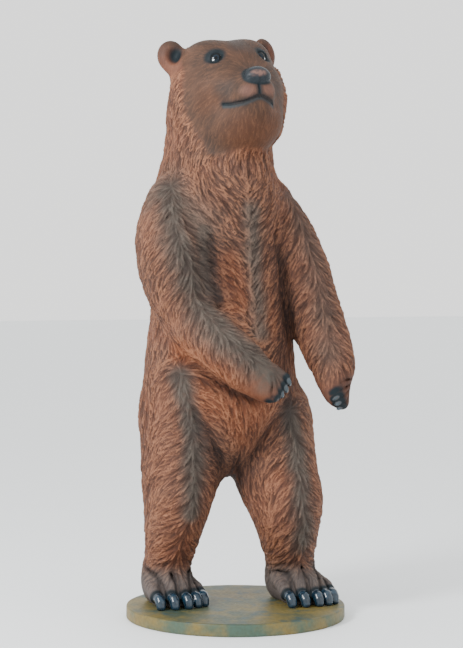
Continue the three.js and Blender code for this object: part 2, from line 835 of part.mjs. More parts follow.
function merge({ points, triangles, error, around }, gone, a, b) {
  let lost = 0;
  for (const t of around[b]) {
    const corners = [triangles[3 * t], triangles[3 * t + 1], triangles[3 * t + 2]];
    if (corners.includes(a)) {
      gone[t] = 1;
      lost += 1;
      for (const corner of corners) {
        if (corner !== b) around[corner].splice(around[corner].indexOf(t), 1);
      }
    } else {
      triangles[3 * t + corners.indexOf(b)] = a;
      around[a].push(t);
    }
  }
  around[b] = [];
  for (let axis = 0; axis < 3; axis += 1) points[3 * a + axis] = place[axis];
  for (let n = 0; n < 10; n += 1) error[10 * a + n] += error[10 * b + n];
  return lost;
}

// A pile that always gives back the edge of least cost
function smallestFirst() {
  const [costs, firsts, seconds, whens] = [[], [], [], []];
  const set = (i, cost, a, b, when) => {
    costs[i] = cost;
    firsts[i] = a;
    seconds[i] = b;
    whens[i] = when;
  };
  const copy = (to, from) => set(to, costs[from], firsts[from], seconds[from], whens[from]);
  return {
    put(cost, a, b, when) {
      let i = costs.length;
      set(i, cost, a, b, when);
      while (i > 0 && costs[(i - 1) >> 1] > cost) {
        copy(i, (i - 1) >> 1);
        i = (i - 1) >> 1;
      }
      set(i, cost, a, b, when);
    },
    take() {
      if (costs.length === 0) return false;
      [this.a, this.b, this.when] = [firsts[0], seconds[0], whens[0]];
      const [cost, a, b, when] = [costs.pop(), firsts.pop(), seconds.pop(), whens.pop()];
      const size = costs.length;
      if (size === 0) return true;
      let i = 0;
      for (;;) {
        let next = 2 * i + 1;
        if (next >= size) break;
        if (next + 1 < size && costs[next + 1] < costs[next]) next += 1;
        if (costs[next] >= cost) break;
        copy(i, next);
        i = next;
      }
      set(i, cost, a, b, when);
      return true;
    },
  };
}

function gathered(points, triangles, gone) {
  const kept = [];
  const renamed = new Map();
  const corners = [];
  for (let t = 0; t < gone.length; t += 1) {
    if (gone[t]) continue;
    for (let n = 0; n < 3; n += 1) {
      const old = triangles[3 * t + n];
      if (!renamed.has(old)) {
        renamed.set(old, kept.length / 3);
        kept.push(points[3 * old], points[3 * old + 1], points[3 * old + 2]);
      }
      corners.push(renamed.get(old));
    }
  }
  return { points: kept, triangles: corners };
}

// The figure at its stated height, its soles flat and a paint line above the base
function figureMesh() {
  const mesh = thinned(carveFur(surface(sampleGrid(figure, gridStep))), figureTriangles);
  const heights = mesh.points.filter((_, i) => i % 3 === 2);
  const scale = figureHeight / heights.reduce((top, z) => Math.max(top, z), 0);
  const placedPoints = mesh.points.map((value, i) => (i % 3 === 2 ? Math.max(value, 0) : value) * scale);
  const geometry = closedSkin(placedPoints, mesh.triangles);
  geometry.translate(0, 0, baseThickness + seatGap);
  return geometry;
}

function closedSkin(points, triangles) {
  const geometry = new THREE.BufferGeometry();
  geometry.setAttribute("position", new THREE.Float32BufferAttribute(points, 3));
  geometry.setIndex(triangles);
  geometry.computeVertexNormals();
  return geometry;
}

// A round disc with its top and bottom edges eased
function baseMesh() {
  const radius = baseDiameter / 2;
  const outline = [
    [radius - baseEdge, 0],
    [radius, baseEdge],
    [radius, baseThickness - baseEdge],
    [radius - baseEdge, baseThickness],
  ];
  const points = [0, 0, 0, 0, 0, baseThickness];
  const triangles = [];
  for (const [r, z] of outline) {
    for (let i = 0; i < baseSegments; i += 1) {
      const angle = (2 * Math.PI * i) / baseSegments;
      points.push(r * Math.cos(angle), r * Math.sin(angle), z);
    }
  }
  const rim = (ring, i) => 2 + ring * baseSegments + (i % baseSegments);
  const top = outline.length - 1;
  for (let i = 0; i < baseSegments; i += 1) {
    triangles.push(0, rim(0, i + 1), rim(0, i), 1, rim(top, i), rim(top, i + 1));
    for (let ring = 0; ring < top; ring += 1) {
      const [a, b, c, d] = [rim(ring, i), rim(ring, i + 1), rim(ring + 1, i + 1), rim(ring + 1, i)];
      triangles.push(a, b, c, a, c, d);
    }
  }
  return closedSkin(points, triangles);
}

const furPaint = new THREE.MeshStandardMaterial({ color: 0x8a5a45, roughness: 0.6, metalness: 0 });
const basePaint = new THREE.MeshStandardMaterial({ color: 0x7b7d55, roughness: 0.6, metalness: 0 });

const bearNode = new THREE.Mesh(figureMesh(), furPaint);
bearNode.name = "bear";

const baseNode = new THREE.Mesh(baseMesh(), basePaint);
baseNode.name = "base";

const part = new THREE.Group();
part.name = "bear_statue";
part.add(baseNode, bearNode);

export default part;
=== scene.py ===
import math

import bpy
import numpy as np
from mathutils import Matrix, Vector


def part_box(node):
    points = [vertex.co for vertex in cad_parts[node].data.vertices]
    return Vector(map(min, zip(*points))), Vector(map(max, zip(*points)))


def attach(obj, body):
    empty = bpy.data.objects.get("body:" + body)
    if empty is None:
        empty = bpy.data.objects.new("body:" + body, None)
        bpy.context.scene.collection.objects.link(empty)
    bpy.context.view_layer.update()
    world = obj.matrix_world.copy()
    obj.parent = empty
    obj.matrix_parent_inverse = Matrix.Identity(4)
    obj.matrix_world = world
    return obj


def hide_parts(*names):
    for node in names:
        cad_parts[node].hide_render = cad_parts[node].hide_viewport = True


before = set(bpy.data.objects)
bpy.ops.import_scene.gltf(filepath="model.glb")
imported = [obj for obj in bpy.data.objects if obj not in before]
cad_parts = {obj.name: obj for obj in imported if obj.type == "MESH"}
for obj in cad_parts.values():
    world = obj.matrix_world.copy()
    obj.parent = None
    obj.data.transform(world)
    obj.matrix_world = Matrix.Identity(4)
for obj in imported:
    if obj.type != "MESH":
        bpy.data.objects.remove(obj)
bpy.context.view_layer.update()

# The bear is carved in its own layout: millimetres from the sole up, facing -Y, its left side +X.
# At the end it is brought to the height of the CAD solid.

SEED = 11
STEP = 7.0
SIDES = (-1, 1)
GRID_LOW, GRID_HIGH = (-400, -340, -40), (440, 410, 2040)
VIEW_AZIMUTH = math.radians(-18)
VIEW_RIGHT = np.array([math.cos(VIEW_AZIMUTH), math.sin(VIEW_AZIMUTH), 0])
VIEW_NEAR = np.array([math.sin(VIEW_AZIMUTH), -math.cos(VIEW_AZIMUTH), 0])


def seen(right, near, up):
    """A place or direction as seen from the front right of the bear."""
    return VIEW_RIGHT * right + VIEW_NEAR * near + np.array([0, 0, up])


# Round shapes. Each is a function that gives the distance of points outside its surface.


def egg(centre, radii):
    """A ball stretched along each axis. The distance is true near its surface."""
    (cx, cy, cz), (rx, ry, rz) = centre, radii

    def shape(x, y, z):
        dx, dy, dz = (x - cx) / rx, (y - cy) / ry, (z - cz) / rz
        reach = np.sqrt(dx * dx + dy * dy + dz * dz)
        dx, dy, dz = dx / rx, dy / ry, dz / rz
        slope = np.sqrt(dx * dx + dy * dy + dz * dz)
        return reach * (reach - 1) / np.maximum(slope, 1e-9)

    return shape


def ball(centre, radius):
    cx, cy, cz = centre
    return lambda x, y, z: np.sqrt((x - cx) ** 2 + (y - cy) ** 2 + (z - cz) ** 2) - radius


def taper(a, ra, b, rb):
    """A ball at each end with a straight taper between them."""
    (ax, ay, az), (bx, by, bz) = a, b
    length = math.dist(a, b)
    ux, uy, uz = (bx - ax) / length, (by - ay) / length, (bz - az) / length
    slant = (ra - rb) / length
    lean = math.sqrt(max(1 - slant * slant, 0))

    def shape(x, y, z):
        px, py, pz = x - ax, y - ay, z - az
        along = px * ux + py * uy + pz * uz
        out = np.sqrt(np.maximum(px * px + py * py + pz * pz - along * along, 0))
        shifted = along * lean - out * slant
        d = out * lean + along * slant - ra
        d = np.where(shifted < 0, np.sqrt(out * out + along * along) - ra, d)
        beyond = along - length
        return np.where(shifted > length * lean, np.sqrt(out * out + beyond * beyond) - rb, d)

    return shape


def fillet(a, b, width):
    """The nearer of two distances, with a soft fillet of this width between the shapes."""
    near = np.maximum(width - np.abs(a - b), 0) / width
    return np.minimum(a, b) - near * near * (width * 0.25)


def joined(first, *others):
    """Shapes added to the first one, each given as (fillet width, shape)."""

    def shape(x, y, z):
        d = first(x, y, z)
        for width, other in others:
            d = fillet(d, other(x, y, z), width)
        return d

    return shape


def hollowed(body, *cuts):
    """A body with cuts taken out of it, each given as (fillet width, shape)."""

    def shape(x, y, z):
        d = body(x, y, z)
        for width, cut in cuts:
            d = -fillet(-d, cut(x, y, z), width)
        return d

    return shape


def beside(shapes, width=0.5):
    """Shapes that stand side by side, with hardly a fillet between them."""
    return joined(shapes[0], *[(width, other) for other in shapes[1:]])


def placed(shape, at, turn):
    """A shape moved to a place and turned onto these side, forward and up axes."""
    (px, py, pz), (s, f, u) = at, turn

    def moved(x, y, z):
        dx, dy, dz = x - px, y - py, z - pz
        return shape(
            dx * s[0] + dy * s[1] + dz * s[2],
            dx * f[0] + dy * f[1] + dz * f[2],
            dx * u[0] + dy * u[1] + dz * u[2],
        )

    return moved


def close_to(centre, reach, shape):
    """A shape that only needs working out within reach of a centre."""
    cx, cy, cz = centre

    def near(x, y, z):
        d = np.sqrt((x - cx) ** 2 + (y - cy) ** 2 + (z - cz) ** 2) - reach
        m = d < 70
        d[m] = shape(x[m], y[m], z[m])
        return d

    return near


def axes(left, lift, tilt):
    """Side, forward and up axes for a turn left, a lift of the front and a lift of the left side."""
    a, b, c = (math.radians(v) for v in (left, lift, tilt))
    level, across = np.array([math.sin(a), -math.cos(a), 0]), np.array([math.cos(a), math.sin(a), 0])
    z = np.array([0, 0, 1.0])
    forward = level * math.cos(b) + z * math.sin(b)
    upright = z * math.cos(b) - level * math.sin(b)
    side = across * math.cos(c) + upright * math.sin(c)
    return np.array([side, forward, upright * math.cos(c) - across * math.sin(c)])


def limb_line(joints, steps=3):
    """A smooth line through the joints, each given as (x, y, z, radius)."""
    j = np.array(joints, float)
    run = np.vstack([2 * j[0] - j[1], j, 2 * j[-1] - j[-2]])
    line = []
    for a, b, c, d in zip(run, run[1:], run[2:], run[3:]):
        for t in np.arange(steps) / steps:
            bend = (2 * a - 5 * b + 4 * c - d) * t * t + (3 * b - a - 3 * c + d) * t**3
            line.append(0.5 * (2 * b + (c - a) * t + bend))
    return np.array([*line, j[-1]])


def tapers_of(line):
    """A taper for each stretch of a line through points with radii."""
    return [taper(a[:3].tolist(), a[3], b[:3].tolist(), b[3]) for a, b in zip(line, line[1:])]


def along_line(line):
    """A thick line through points with radii."""
    parts = tapers_of(line)
    middle = (line[:, :3].min(0) + line[:, :3].max(0)) / 2
    reach = max(np.linalg.norm(p[:3] - middle) + p[3] for p in line)

    def shape(x, y, z):
        d = parts[0](x, y, z)
        for part in parts[1:]:
            d = np.minimum(d, part(x, y, z))
        return d

    return close_to(middle, reach, shape)


# Smooth noise and small helpers


def smooth(value, low, high):
    """A soft step from 0 to 1 between two values."""
    t = np.clip((value - low) / (high - low), 0, 1)
    return t * t * (3 - 2 * t)


def hashed(i, j, k, salt):
    n = (i * 73856093) ^ (j * 19349663) ^ (k * 83492791) ^ (salt * 2654435761)
    n = (n ^ (n >> 13)) * 1274126177 & 0xFFFFFFFF
    n = (n ^ (n >> 16)) & 0xFFFFFF
    return n.astype(np.float32) / 0xFFFFFF


def noise(points, size, salt=0):
    """Smooth noise from -1 to 1 with lumps about this size."""
    q = points / size
    cell = np.floor(q).astype(np.int64)
    t = (q - cell).astype(np.float32)
    t = t * t * (3 - 2 * t)
    total = 0
    for i in (0, 1):
        for j in (0, 1):
            for k in (0, 1):
                share = np.abs(1 - i - t[:, 0]) * np.abs(1 - j - t[:, 1]) * np.abs(1 - k - t[:, 2])
                total = total + share * hashed(cell[:, 0] + i, cell[:, 1] + j, cell[:, 2] + k, salt)
    return total * 2 - 1


def unit(v):
    return v / np.maximum(np.linalg.norm(v, axis=-1, keepdims=True), 1e-9)


def values_at(shape, points, step=300000):
    out = np.empty(len(points), np.float32)
    for s in range(0, len(points), step):
        x, y, z = (np.ascontiguousarray(points[s : s + step, i], np.float32) for i in range(3))
        out[s : s + step] = shape(x, y, z)
    return out


def slope_at(shape, points, e=1.0):
    """The distance at each point and how fast it grows along each axis."""
    here = values_at(shape, points)
    step = np.eye(3, dtype=np.float32) * e
    return here, np.stack([values_at(shape, points + step[i]) - here for i in range(3)], 1) / e


def settled(points, shape, rounds):
    """Points moved onto the surface of the shape, and the direction facing out of it."""
    most = 6
    for _ in range(rounds):
        d, slope = slope_at(shape, points)
        steep = np.maximum((slope * slope).sum(1), 0.2)
        points = points - slope * np.clip(d / steep, -most, most)[:, None]
    _, slope = slope_at(shape, points, 1.5)
    return points, unit(slope)


def pressed(line, shape, depth):
    """A line moved onto the surface of a shape and this far into it, keeping its radii."""
    line = np.array(line, float)
    on, facing_out = settled(line[:, :3], shape, 8)
    return np.column_stack([on - facing_out * depth, line[:, 3]])


def from_line(points, line):
    """How far each point is from a line of points, and its offset from the nearest place on it."""
    line = np.array(line, float)[:, :3]
    best, offset = np.full(len(points), 1e9), np.zeros((len(points), 3))
    for a, b in zip(line, line[1:]):
        t = np.clip(((points - a) @ (b - a)) / ((b - a) @ (b - a)), 0, 1)
        gap = points - a - t[:, None] * (b - a)
        d = np.linalg.norm(gap, axis=1)
        closer = d < best
        best[closer], offset[closer] = d[closer], gap[closer]
    return best, offset


def near_line(points, line, reach):
    """1 on a line of points, fading to 0 at this reach from it."""
    return 1 - smooth(from_line(points, line)[0], 0, reach)


# Trunk, from the rump up to the neck
trunk = joined(
    egg((-17, 88, 657), (260, 196, 205)),
    (90, egg((-18, 150, 620), (198, 130, 140))),
    (120, egg((-41, 60, 807), (253, 210, 240))),
    (140, egg((-22, 95, 1087), (242, 205, 340))),
    (100, egg((-24, 120, 1307), (238, 190, 210))),
    (90, egg((-24, 215, 1357), (160, 110, 230))),
    (110, taper((-28, 122, 1427), 199, (-28, 105, 1657), 179)),
    (90, egg((-22, -20, 1407), (120, 85, 170))),
)

# Head, laid out from the middle of the skull as side, forward and up
HEAD_AT = (-12, 85, 1829)
HEAD_TURN = axes(5, 15, 4)
EYE = (81, 131, 36)
EYE_RADIUS = 24
EAR_AT = (180, -16, 101)


def ear_axes(side):
    across, level, _ = axes(side * 24, 0, 0)
    return np.array([[across[0], -across[1], 0], [level[0], -level[1], 0], [0, 0, 1]])


def ear(side):
    disc = hollowed(
        joined(egg((0, 0, 4), (48, 25, 56)), (30, egg((side * -18, -6, -44), (34, 32, 40)))),
        (14, egg((side * -15, 30, -5), (28, 25, 33))),
    )
    return placed(disc, (side * EAR_AT[0], EAR_AT[1], EAR_AT[2]), ear_axes(side))


nose = hollowed(
    joined(egg((7, 252, -74), (47, 30, 29)), (14, egg((5, 236, -60), (40, 42, 25)))),
    *[(5, taper((7 + s * 24, 294, -86), 7.5, (7 + s * 46, 266, -80), 5)) for s in SIDES],
)
eye_balls = [ball((s * EYE[0], EYE[1], EYE[2]), EYE_RADIUS) for s in SIDES]
face_form = joined(
    egg((0, -8, 14), (162, 168, 122)),
    *[
        part
        for s in SIDES
        for part in (
            (50, egg((s * 80, 25, 62), (76, 100, 68))),
            (70, egg((s * 91, -5, -84), (117, 136, 122))),
            (60, egg((s * 62, 100, -70), (82, 96, 84))),
        )
    ],
    (50, egg((0, 92, 0), (105, 92, 85))),
    (60, egg((0, 72, -164), (136, 122, 90))),
    (60, egg((0, 100, -206), (116, 100, 80))),
    (50, taper((0, 100, -88), 98, (0, 196, -104), 69)),
    (40, taper((0, 84, -158), 84, (0, 174, -170), 56)),
    (24, egg((-32, 218, -119), (38, 38, 32))),
    (24, egg((32, 218, -119), (38, 38, 32))),
)


# The mouth, longer on the bear's right
LIPS = [
    (-102, 174, -141, 3),
    (-80, 196, -148, 4.5),
    (-51, 224, -149, 5),
    (-30, 244, -148, 5),
    (0, 256, -142, 5),
    (30, 244, -149, 5),
    (51, 224, -156, 5),
    (60, 214, -161, 3),
]
lips = pressed(limb_line(LIPS), face_form, 0.5)
philtrum = pressed([(0, 258, -147, 4), (0, 264, -126, 3.5), (0, 266, -104, 3.5)], face_form, 0.5)
head_form = hollowed(
    face_form,
    (4, along_line(lips)),
    (4, along_line(philtrum)),
    (16, ball((-89, 150, 36), 20)),
    (16, ball((89, 150, 36), 20)),
)
head_skin = joined(head_form, (7, nose), (26, ear(-1)), (26, ear(1)))


def lid(side):
    """A soft rim round the eye, thicker above."""
    rim = egg((side * (EYE[0] + 1), EYE[1] - 1, EYE[2] + 3), (30, 26, 27))
    opening = egg((side * (EYE[0] + 2), EYE[1] + 22, EYE[2] - 1), (23, 30, 18.5))
    return hollowed(rim, (4, opening))


head_shape = joined(head_skin, (9, lid(-1)), (9, lid(1)), (1.5, eye_balls[0]), (1.5, eye_balls[1]))
head = close_to(HEAD_AT, 320, placed(head_shape, HEAD_AT, HEAD_TURN))

# Limbs
right_arm = limb_line(
    [
        (-178, 88, 1377, 120),
        (-217, 28, 1267, 127),
        (-215, 2, 1140, 115),
        (-182, -30, 1022, 92),
        (-78, -170, 887, 84),
        (20, -213, 797, 66),
        (48, -232, 766, 46),
    ]
)
left_arm = limb_line(
    [
        (150, 85, 1387, 92),
        (193, 60, 1307, 97),
        (240, 20, 1192, 96),
        (271, -20, 1057, 93),
        (305, -75, 917, 86),
        (317, -118, 842, 74),
        (314, -142, 792, 61),
        (318, -153, 742, 44),
        (331, -164, 712, 26),
    ]
)
right_leg = limb_line(
    [
        (-138, 105, 637, 166),
        (-183, 68, 441, 131),
        (-202, 38, 357, 113),
        (-216, 52, 247, 93),
        (-218, 95, 137, 75),
        (-220, 122, 67, 69),
    ]
)
left_leg = limb_line(
    [
        (136, 90, 637, 166),
        (163, 30, 441, 142),
        (176, -20, 357, 129),
        (191, -12, 247, 101),
        (211, 30, 137, 80),
        (212, 58, 67, 74),
    ]
)


def claw_line(root, forward, down, radius, reach):
    """A claw that runs forward from its root and bends down, as points with radii."""
    root, forward, down = (np.array(v, float) for v in (root, forward, down))
    bends = [(0, 0, 0.95), (0.3, 0.06, 1.02), (0.5, 0.28, 1.0), (0.6, 0.58, 0.88), (0.63, 0.88, 0.5)]
    places = [root + reach * (forward * out + down * drop) for out, drop, _ in bends]
    return np.array([[*place, radius * share] for place, (_, _, share) in zip(places, bends)])


TOES = (-2, -1, 0, 1, 2)
TOE_ACROSS = (-84, -37, 12, 51, 84)
FOOT_REACH, HAND_REACH = 210, 110
claw_shapes = []
gap_lines = []


def foot(heel, tip):
    """A flat-soled hind foot with five toes, each with a knuckle and a claw."""
    run = (tip[0] - heel[0], tip[1] - heel[1])
    length = math.hypot(*run)
    turn = axes(math.degrees(math.atan2(run[0], -run[1])), 0, 0)
    at = (heel[0], heel[1], 0)
    middle = ((heel[0] + tip[0]) / 2, (heel[1] + tip[1]) / 2, 70)
    form, claws = [], []

    def toe_front(k):
        return length - 50 - abs(k) ** 1.6 * 7

    for k, x in zip(TOES, TOE_ACROSS):
        y = toe_front(k)
        ridge = taper((x * 0.74, y - 90, 98 - abs(k) * 7), 20, (x * 0.97, y - 14, 62 - abs(k) * 3), 21)
        form.append((6, taper((x * 0.85, y - 78, 72), 24, (x, y + 2, 40), 23)))
        form.append((6, ridge))
        claws.append(along_line(claw_line((x, y + 16, 37), (0, 1, 0), (0, 0, -1), 18, 48)))
    for k, a, b in zip(TOES, TOE_ACROSS, TOE_ACROSS[1:]):
        x, y = (a + b) / 2, toe_front(k + 0.5)
        top = [(x * 0.68, y - 105, 128, 3), (x * 0.8, y - 55, 105, 6)]
        gap = np.array([*top, (x * 0.95, y - 8, 72, 8), (x, y + 14, 40, 8)])
        gap_lines.append(np.column_stack([gap[:, :3] @ turn + (heel[0], heel[1], 0), gap[:, 3]]))
    body = joined(
        taper((0, 60, 44), 58, (0, length - 108, 42), 76),
        (50, taper((0, 85, 108), 63, (0, length - 118, 56), 52)),
        *form,
    )
    claw_shapes.append(close_to(middle, FOOT_REACH, placed(beside(claws), at, turn)))
    return close_to(middle, FOOT_REACH, placed(body, at, turn))


def hand(centre, row, finger, palm, pitch, reach):
    """Five short fingers with claws, spread along a row."""
    row, finger, palm = (v / np.linalg.norm(v) for v in (row, finger, palm))
    form, claws, tips = [], [], []
    for k in TOES:
        tip = centre + row * k * pitch - finger * 4 * k * k
        knuckle = tip - finger * 46 - row * k * 10
        form.append(taper(knuckle.tolist(), 21, tip.tolist(), 13))
        tips.append((knuckle - palm * 26, tip - palm * 14, tip + finger * 8 - palm * 6))
        claws.append(along_line(claw_line(tip + finger * 4 - palm * 2, finger, palm, 7.5, reach)))
    for a, b in zip(tips, tips[1:]):
        gap_lines.append(np.column_stack([(np.array(a) + b) / 2, (2, 5, 5)]))
    claw_shapes.append(close_to(centre, HAND_REACH, beside(claws)))
    return close_to(centre, HAND_REACH, beside(form, 5))


limb_shapes = [(line, along_line(line)) for line in (right_arm, left_arm, right_leg, left_leg)]
right_foot = foot((-244, 208), (-196, -58))
left_foot = foot((206, 132), (249, -152))
right_hand = hand(
    centre=seen(147, 222, 768),
    row=seen(-0.76, 0.1, -0.62),
    finger=seen(0.5, 0.35, -0.62),
    palm=seen(-0.2, -0.9, -0.4),
    pitch=22,
    reach=34,
)
left_hand = hand(
    centre=seen(359, 72, 744),
    row=seen(0.22, -0.1, -0.95),
    finger=seen(-0.15, 0.85, -0.45),
    palm=seen(-0.75, -0.3, -0.5),
    pitch=23,
    reach=27,
)

skin = joined(
    trunk,
    (60, limb_shapes[2][1]),
    (36, limb_shapes[3][1]),
    (40, right_foot),
    (40, left_foot),
    (40, limb_shapes[1][1]),
    (24, limb_shapes[0][1]),
    (50, head),
    (18, right_hand),
    (18, left_hand),
)
all_claws = beside(claw_shapes)


# Folds where the arms and thighs meet the body, each a line with its radii, carved as a groove and darkened
# with painted shade
FOLDS = [
    [(-122, -97, 1320, 4), (-112, -93, 1246, 13), (-105, -92, 1178, 18),
     (-98, -97, 1109, 18), (-90, -112, 1044, 12)],
    [(122, -60, 1300, 4), (143, -50, 1212, 12), (163, -45, 1142, 16),
     (178, -48, 1040, 16), (183, -40, 930, 14)],
    [(-205, -90, 872, 4), (-160, -125, 832, 8), (-100, -140, 785, 9),
     (-40, -150, 748, 9), (20, -150, 725, 8)],
    [(-177, -108, 690, 4), (-140, -107, 634, 8), (-109, -99, 581, 10),
     (-82, -70, 526, 10), (-62, -30, 476, 6)],
    [(150, -90, 705, 4), (128, -101, 677, 7), (90, -107, 627, 9),
     (59, -92, 575, 10), (45, -68, 522, 8)],
]
# How wide and how strong the painted shade along each fold is
FOLD_SHADES = [(46, 1.0), (50, 1.0), (34, 0.75), (54, 0.9), (50, 0.9)]
FEET_TOP = 200
fold_lines = [pressed(line, skin, -1.0) for line in FOLDS]
folded = hollowed(skin, *[(24, along_line(line)) for line in fold_lines])
gap_lines = [pressed(line, skin, -1.0) for line in gap_lines]
parted = hollowed(folded, *[(4, along_line(line)) for line in gap_lines])
with_claws = joined(parted, (3, all_claws))


def figure(x, y, z):
    return -fillet(-with_claws(x, y, z), z, 4)


# Surface of a shape, found on a grid, with one point in each crossed cell


def shifted(size, *starts):
    """The part of a grid that begins at these places and is one shorter each way."""
    return tuple(slice(start, n - 1 + start) for start, n in zip(starts, size))


def grid_of(shape, low, high, h):
    """Values on a grid, worked out finely only in blocks of four cells that the surface comes near."""
    low = np.array(low, float)
    size = (np.ceil((np.array(high, float) - low) / h).astype(int) + 3) // 4 * 4 + 1
    coarse_size = (size - 1) // 4 + 1
    ticks = [low[i] + np.arange(coarse_size[i]) * 4 * h for i in range(3)]
    corner = np.stack(np.meshgrid(*ticks, indexing="ij"), -1)
    coarse = values_at(shape, corner.reshape(-1, 3)).reshape(coarse_size)
    near = np.abs(coarse) < 4 * h * 1.9
    block = np.zeros(coarse_size - 1, bool)
    for i, j, k in np.ndindex(2, 2, 2):
        block |= near[shifted(coarse_size, i, j, k)]

    def spread(a):
        return np.repeat(np.repeat(np.repeat(a, 4, 0), 4, 1), 4, 2)

    values = spread(coarse)[: size[0], : size[1], : size[2]].copy()
    fine = spread(block)
    wanted = np.zeros(size, bool)
    for i, j, k in np.ndindex(2, 2, 2):
        wanted[shifted(size, i, j, k)] |= fine
    values[wanted] = values_at(shape, low + np.argwhere(wanted) * h)
    return values, low


def skin_of(values, low, h):
    """Points and quads of the surface where the values on a grid cross zero."""
    size = np.array(values.shape)
    inside = values < 0
    count = np.zeros(size - 1, np.int8)
    for i, j, k in np.ndindex(2, 2, 2):
        count += inside[shifted(size, i, j, k)]
    crossed = (count > 0) & (count < 8)
    cells = np.argwhere(crossed)
    number = np.full(size - 1, -1, np.int64)
    number[crossed] = np.arange(len(cells))
    total, hits = np.zeros((len(cells), 3)), np.zeros(len(cells))
    for axis in range(3):
        u, v = [n for n in range(3) if n != axis]
        for a, b in np.ndindex(2, 2):
            start = cells.copy()
            start[:, u] += a
            start[:, v] += b
            end = start.copy()
            end[:, axis] += 1
            v0, v1 = values[tuple(start.T)].astype(float), values[tuple(end.T)].astype(float)
            cut = (v0 < 0) != (v1 < 0)
            at = start[cut].astype(float)
            at[:, axis] += v0[cut] / (v0[cut] - v1[cut])
            total[cut] += at
            hits[cut] += 1
    points = low + h * total / hits[:, None]
    quads = []
    for axis in range(3):
        u, v = [n for n in range(3) if n != axis]
        first = [slice(None)] * 3
        second = [slice(None)] * 3
        first[axis], second[axis] = slice(0, -1), slice(1, None)
        a, b = inside[tuple(first)], inside[tuple(second)]
        edge = np.argwhere(a != b)
        turn = a[tuple(edge.T)]
        if axis == 1:
            turn = ~turn
        ring = []
        for du, dv in ((1, 1), (0, 1), (0, 0), (1, 0)):
            cell = edge.copy()
            cell[:, u] -= du
            cell[:, v] -= dv
            ring.append(number[tuple(cell.T)])
        ring = np.stack(ring, 1)
        ring[~turn] = ring[~turn][:, ::-1]
        quads.append(ring)
    return points, np.concatenate(quads)


def edges_of(quads):
    pairs = np.concatenate([quads[:, [0, 1]], quads[:, [1, 2]], quads[:, [2, 3]], quads[:, [3, 0]]])
    return np.sort(pairs, 1)


def subdivided(points, quads):
    """Each quad becomes four. Returns also the parents of each new point, for values that follow it."""
    n = len(points)
    edges, which = np.unique(edges_of(quads), axis=0, return_inverse=True)
    which = which.reshape(4, -1).T + n
    middle = np.arange(len(quads)) + n + len(edges)
    finer = np.concatenate([points, points[edges].mean(1), points[quads].mean(1)])
    parts = [np.stack([quads[:, k], which[:, k], middle, which[:, k - 1]], 1) for k in range(4)]

    def carried(value):
        return np.concatenate([value, value[edges].mean(1), value[quads].mean(1)])

    return finer, np.concatenate(parts), carried


def evened(value, edges, rounds):
    """A value averaged with its neighbours, again and again."""
    ends = np.concatenate([edges[:, 0], edges[:, 1]])
    others = np.concatenate([edges[:, 1], edges[:, 0]])
    count = np.maximum(np.bincount(ends, minlength=len(value)), 1)
    for _ in range(rounds):
        mean = np.stack([np.bincount(ends, value[others, i], len(value)) for i in range(value.shape[1])], 1)
        value = value * 0.4 + 0.6 * mean / count[:, None]
    return value


# The way the fur lies

NOSE_TIP = np.array(HEAD_AT) + HEAD_TURN[1] * 262 - HEAD_TURN[2] * 80
RIGHT_ARM_PARTING = [
    (-240, 10, 1440),
    (-243, -84, 1314),
    (-229, -108, 1229),
    (-197, -108, 1161),
    (-159, -146, 1026),
    (-100, -228, 941),
    (-50, -256, 894),
    (32, -274, 814),
]
LEFT_ARM_PARTING = [(224, 2, 1420), (240, -26, 1317), (271, -93, 1142), (290, -141, 970), (285, -175, 885)]
RIGHT_LEG_PARTING = [
    (-222, -85, 794),
    (-205, -99, 720),
    (-189, -90, 634),
    (-176, -73, 546),
    (-170, -62, 430),
    (-184, -74, 342),
    (-206, -54, 255),
    (-207, -9, 163),
]
LEFT_LEG_PARTING = [
    (180, -80, 660),
    (197, -84, 553),
    (199, -108, 469),
    (197, -141, 370),
    (210, -110, 227),
    (216, -73, 134),
]
PARTINGS = (RIGHT_ARM_PARTING, LEFT_ARM_PARTING, RIGHT_LEG_PARTING, LEFT_LEG_PARTING)
CHEST_LINE = [
    (-7, -138, 1604),
    (3, -110, 1500),
    (4, -122, 1390),
    (17, -107, 1229),
    (28, -108, 1092),
    (32, -129, 955),
]


def head_place(points):
    """Side, forward and up from the middle of the skull."""
    return (points - np.array(HEAD_AT)) @ HEAD_TURN.T


def behind_face(points):
    """How far behind the edge of the short-haired face, in millimetres. Less than 0 on the face."""
    side, forward, up = head_place(points).T
    far_cheek = smooth(side, 70, 140) * (1 - smooth(up, -10, 40))
    edge = forward + 0.5 * np.maximum(up - 10, 0) - 60 - 62 * far_cheek
    edge = edge + noise(points, 24, 41) * 7
    return np.maximum(-edge, -292 - up + noise(points, 30, 42) * 10)


def fur_flow(points):
    """Which way the fur lies: down, along the limbs, away from the partings and back from the nose."""
    down = np.array([0, 0, -1.0])
    flow = np.tile(down, (len(points), 1))
    nearest = np.full(len(points), 1e9)
    along = flow.copy()
    for line, _ in limb_shapes:
        for part, a, b in zip(tapers_of(line), line, line[1:]):
            d = values_at(part, points)
            closer = d < nearest
            nearest[closer] = d[closer]
            along[closer] = unit(b[:3] - a[:3])
    on_limb = 1 - smooth(nearest, 8, 40)
    along = along + np.array([0, 0.35, 0])
    flow = flow * (1 - on_limb[:, None]) + along * on_limb[:, None]
    for line in PARTINGS:
        d, gap = from_line(points, line)
        flow += unit(gap) * (smooth(d, 2, 22) * (1 - smooth(d, 60, 150)) * 1.1)[:, None]
    d, gap = from_line(points, CHEST_LINE)
    flow -= unit(gap) * (smooth(d, 2, 18) * (1 - smooth(d, 90, 190)) * 1.0)[:, None]
    from_face = points - NOSE_TIP
    near_face = 1 - smooth(np.linalg.norm(from_face, axis=1), 270, 370)
    radial = unit(from_face) + down * 0.45
    return flow * (1 - near_face[:, None]) + radial * near_face[:, None]


